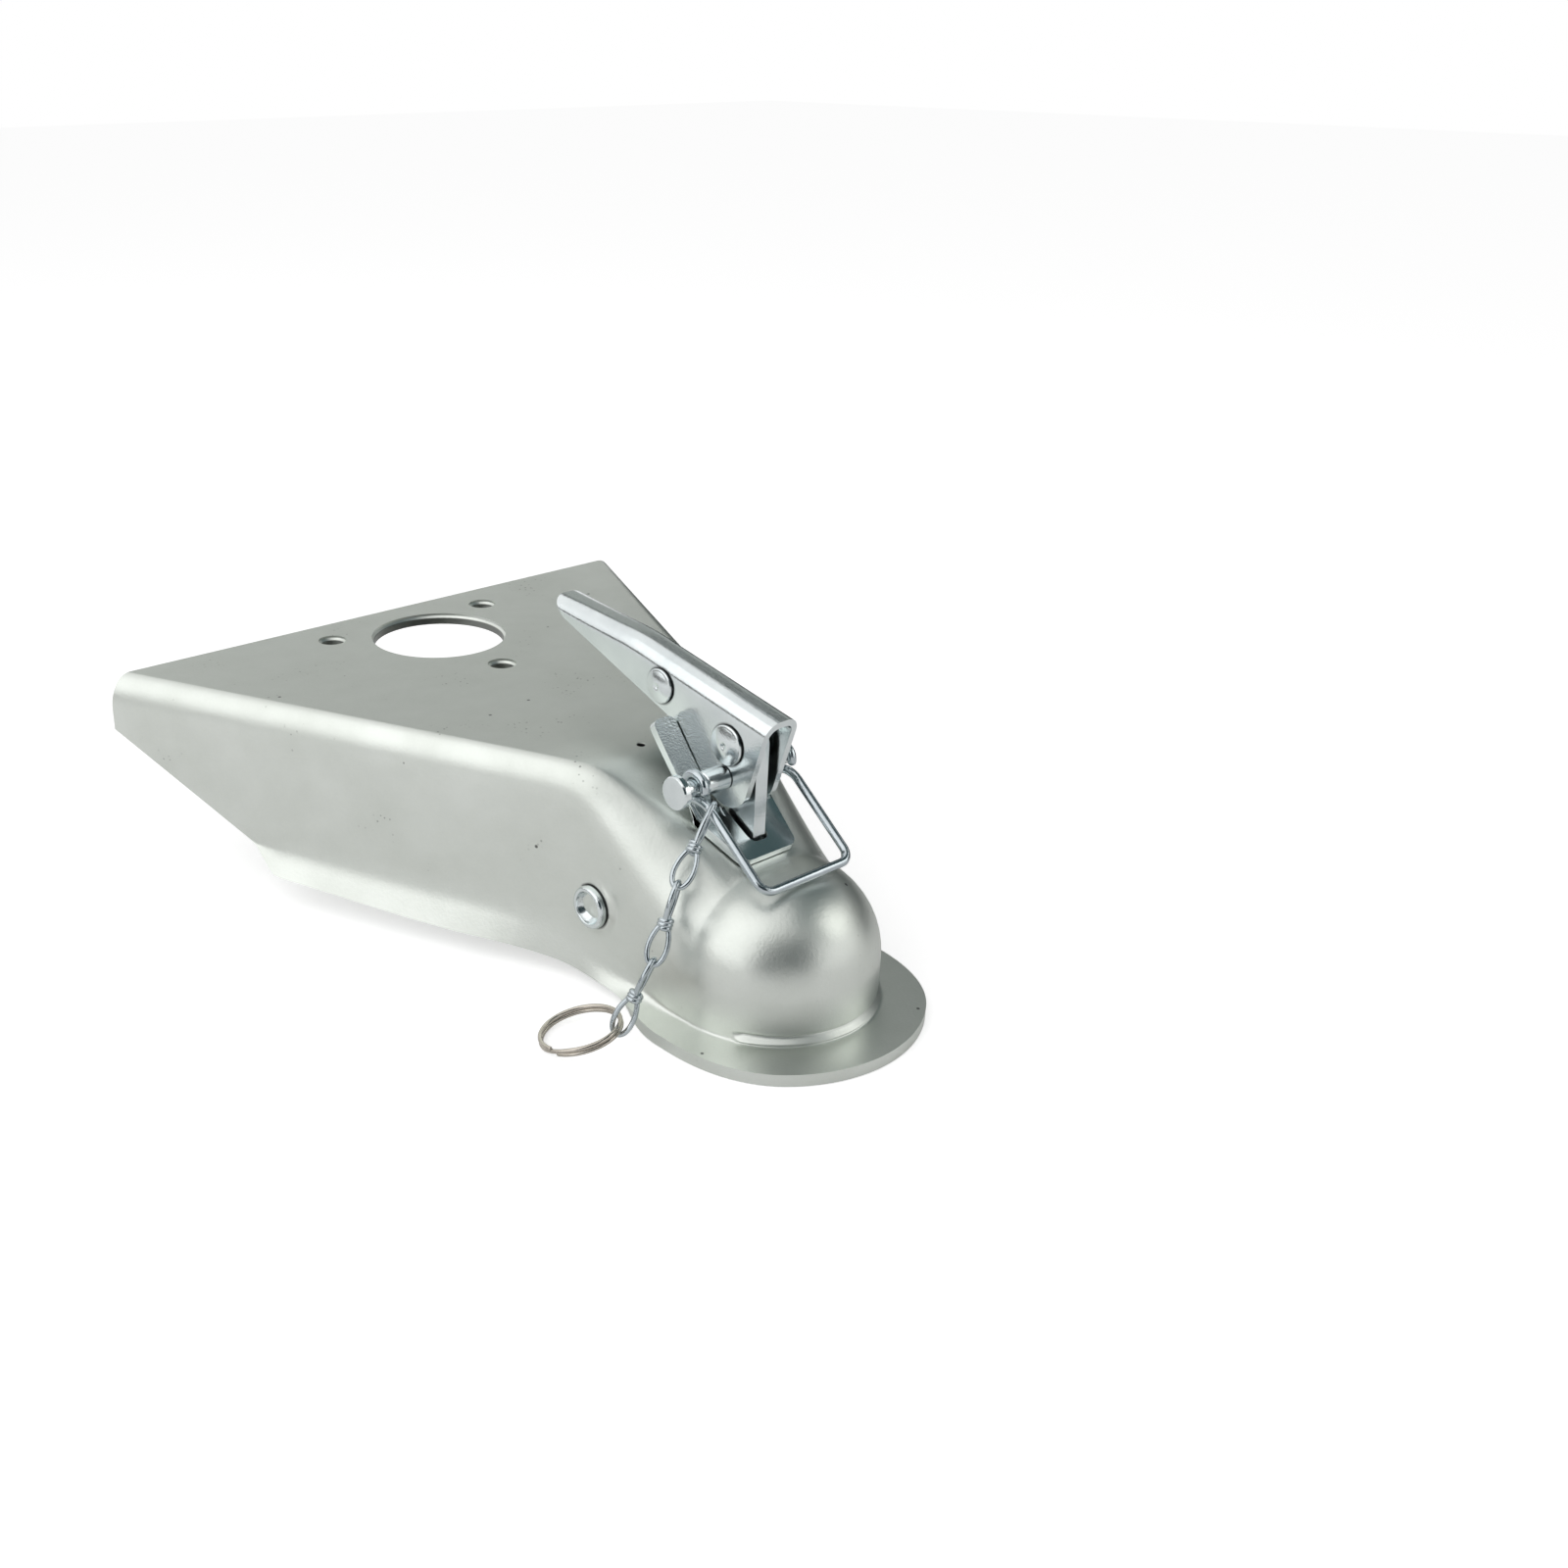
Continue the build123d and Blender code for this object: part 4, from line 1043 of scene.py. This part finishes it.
def card_finish(name, tone):
    """Card of an even tone."""
    finish = Finish(name)
    even = finish.node("ShaderNodeEmission", {}, {"Color": (*tone, 1.0), "Strength": 1.0})
    finish.node("ShaderNodeOutputMaterial", {}, {"Surface": even})
    return finish.material


def card(name, direction, distance, width, height, tone):
    """Card outside the picture that only the metal's reflections show."""
    direction = unit(np.asarray(direction, dtype=float))
    centre = np.array(STAGE_CENTRE) + direction * distance
    obj = stage_sheet(name, centre, -direction, width, height, card_finish(name, tone))
    obj.visible_camera = False
    obj.visible_diffuse = False
    obj.visible_shadow = False


def world_light():
    """Soft grey light all round, shown as white to the camera, in reflections and through glass."""
    world = bpy.data.worlds.new("studio")
    bpy.context.scene.world = world
    world.use_nodes = True
    tree = world.node_tree
    tree.nodes.clear()
    path = tree.nodes.new("ShaderNodeLightPath")
    seen = tree.nodes.new("ShaderNodeMath")
    seen.operation = "MAXIMUM"
    tree.links.new(path.outputs["Is Camera Ray"], seen.inputs[0])
    shine = tree.nodes.new("ShaderNodeMath")
    shine.operation = "MAXIMUM"
    tree.links.new(path.outputs["Is Glossy Ray"], shine.inputs[0])
    tree.links.new(path.outputs["Is Transmission Ray"], shine.inputs[1])
    tree.links.new(shine.outputs[0], seen.inputs[1])
    strength = tree.nodes.new("ShaderNodeMath")
    strength.operation = "MULTIPLY_ADD"
    tree.links.new(seen.outputs[0], strength.inputs[0])
    strength.inputs[1].default_value = 1.0 - WORLD_LIGHT
    strength.inputs[2].default_value = WORLD_LIGHT
    glow = tree.nodes.new("ShaderNodeBackground")
    glow.inputs["Color"].default_value = (1.0, 1.0, 1.0, 1.0)
    tree.links.new(strength.outputs[0], glow.inputs["Strength"])
    out = tree.nodes.new("ShaderNodeOutputWorld")
    tree.links.new(glow.outputs[0], out.inputs["Surface"])


def aim(obj, target):
    """Turn a lamp or camera to look at target."""
    away = Vector(target) * MM - obj.location
    obj.rotation_euler = away.to_track_quat("-Z", "Y").to_euler()


def lamp(name, place, target, size, power):
    """Square soft lamp."""
    light = bpy.data.lights.new(name, "AREA")
    light.size = size * MM
    light.energy = power
    obj = bpy.data.objects.new(name, light)
    obj.location = [v * MM for v in place]
    bpy.context.scene.collection.objects.link(obj)
    aim(obj, target)


def camera():
    """Camera at the photograph's angle."""
    lens = bpy.data.cameras.new("camera")
    lens.lens = LENS
    lens.sensor_width = 36.0
    lens.shift_x, lens.shift_y = LENS_SHIFT
    obj = bpy.data.objects.new("camera", lens)
    obj.location = CAMERA_PLACE
    bpy.context.scene.collection.objects.link(obj)
    aim(obj, CAMERA_TARGET)
    bpy.context.scene.camera = obj


stage_sheet("floor", (0.0, 0.0, FLOOR - FLOOR_GAP), (0.0, 0.0, 1.0), FLOOR_SIZE, FLOOR_SIZE, floor_finish())
for row in CARDS:
    card(*row)
world_light()
lamp("side", LAMP_PLACE, LAMP_TARGET, LAMP_SIZE, LAMP_POWER)
camera()
bpy.context.scene.view_settings.view_transform = "Standard"
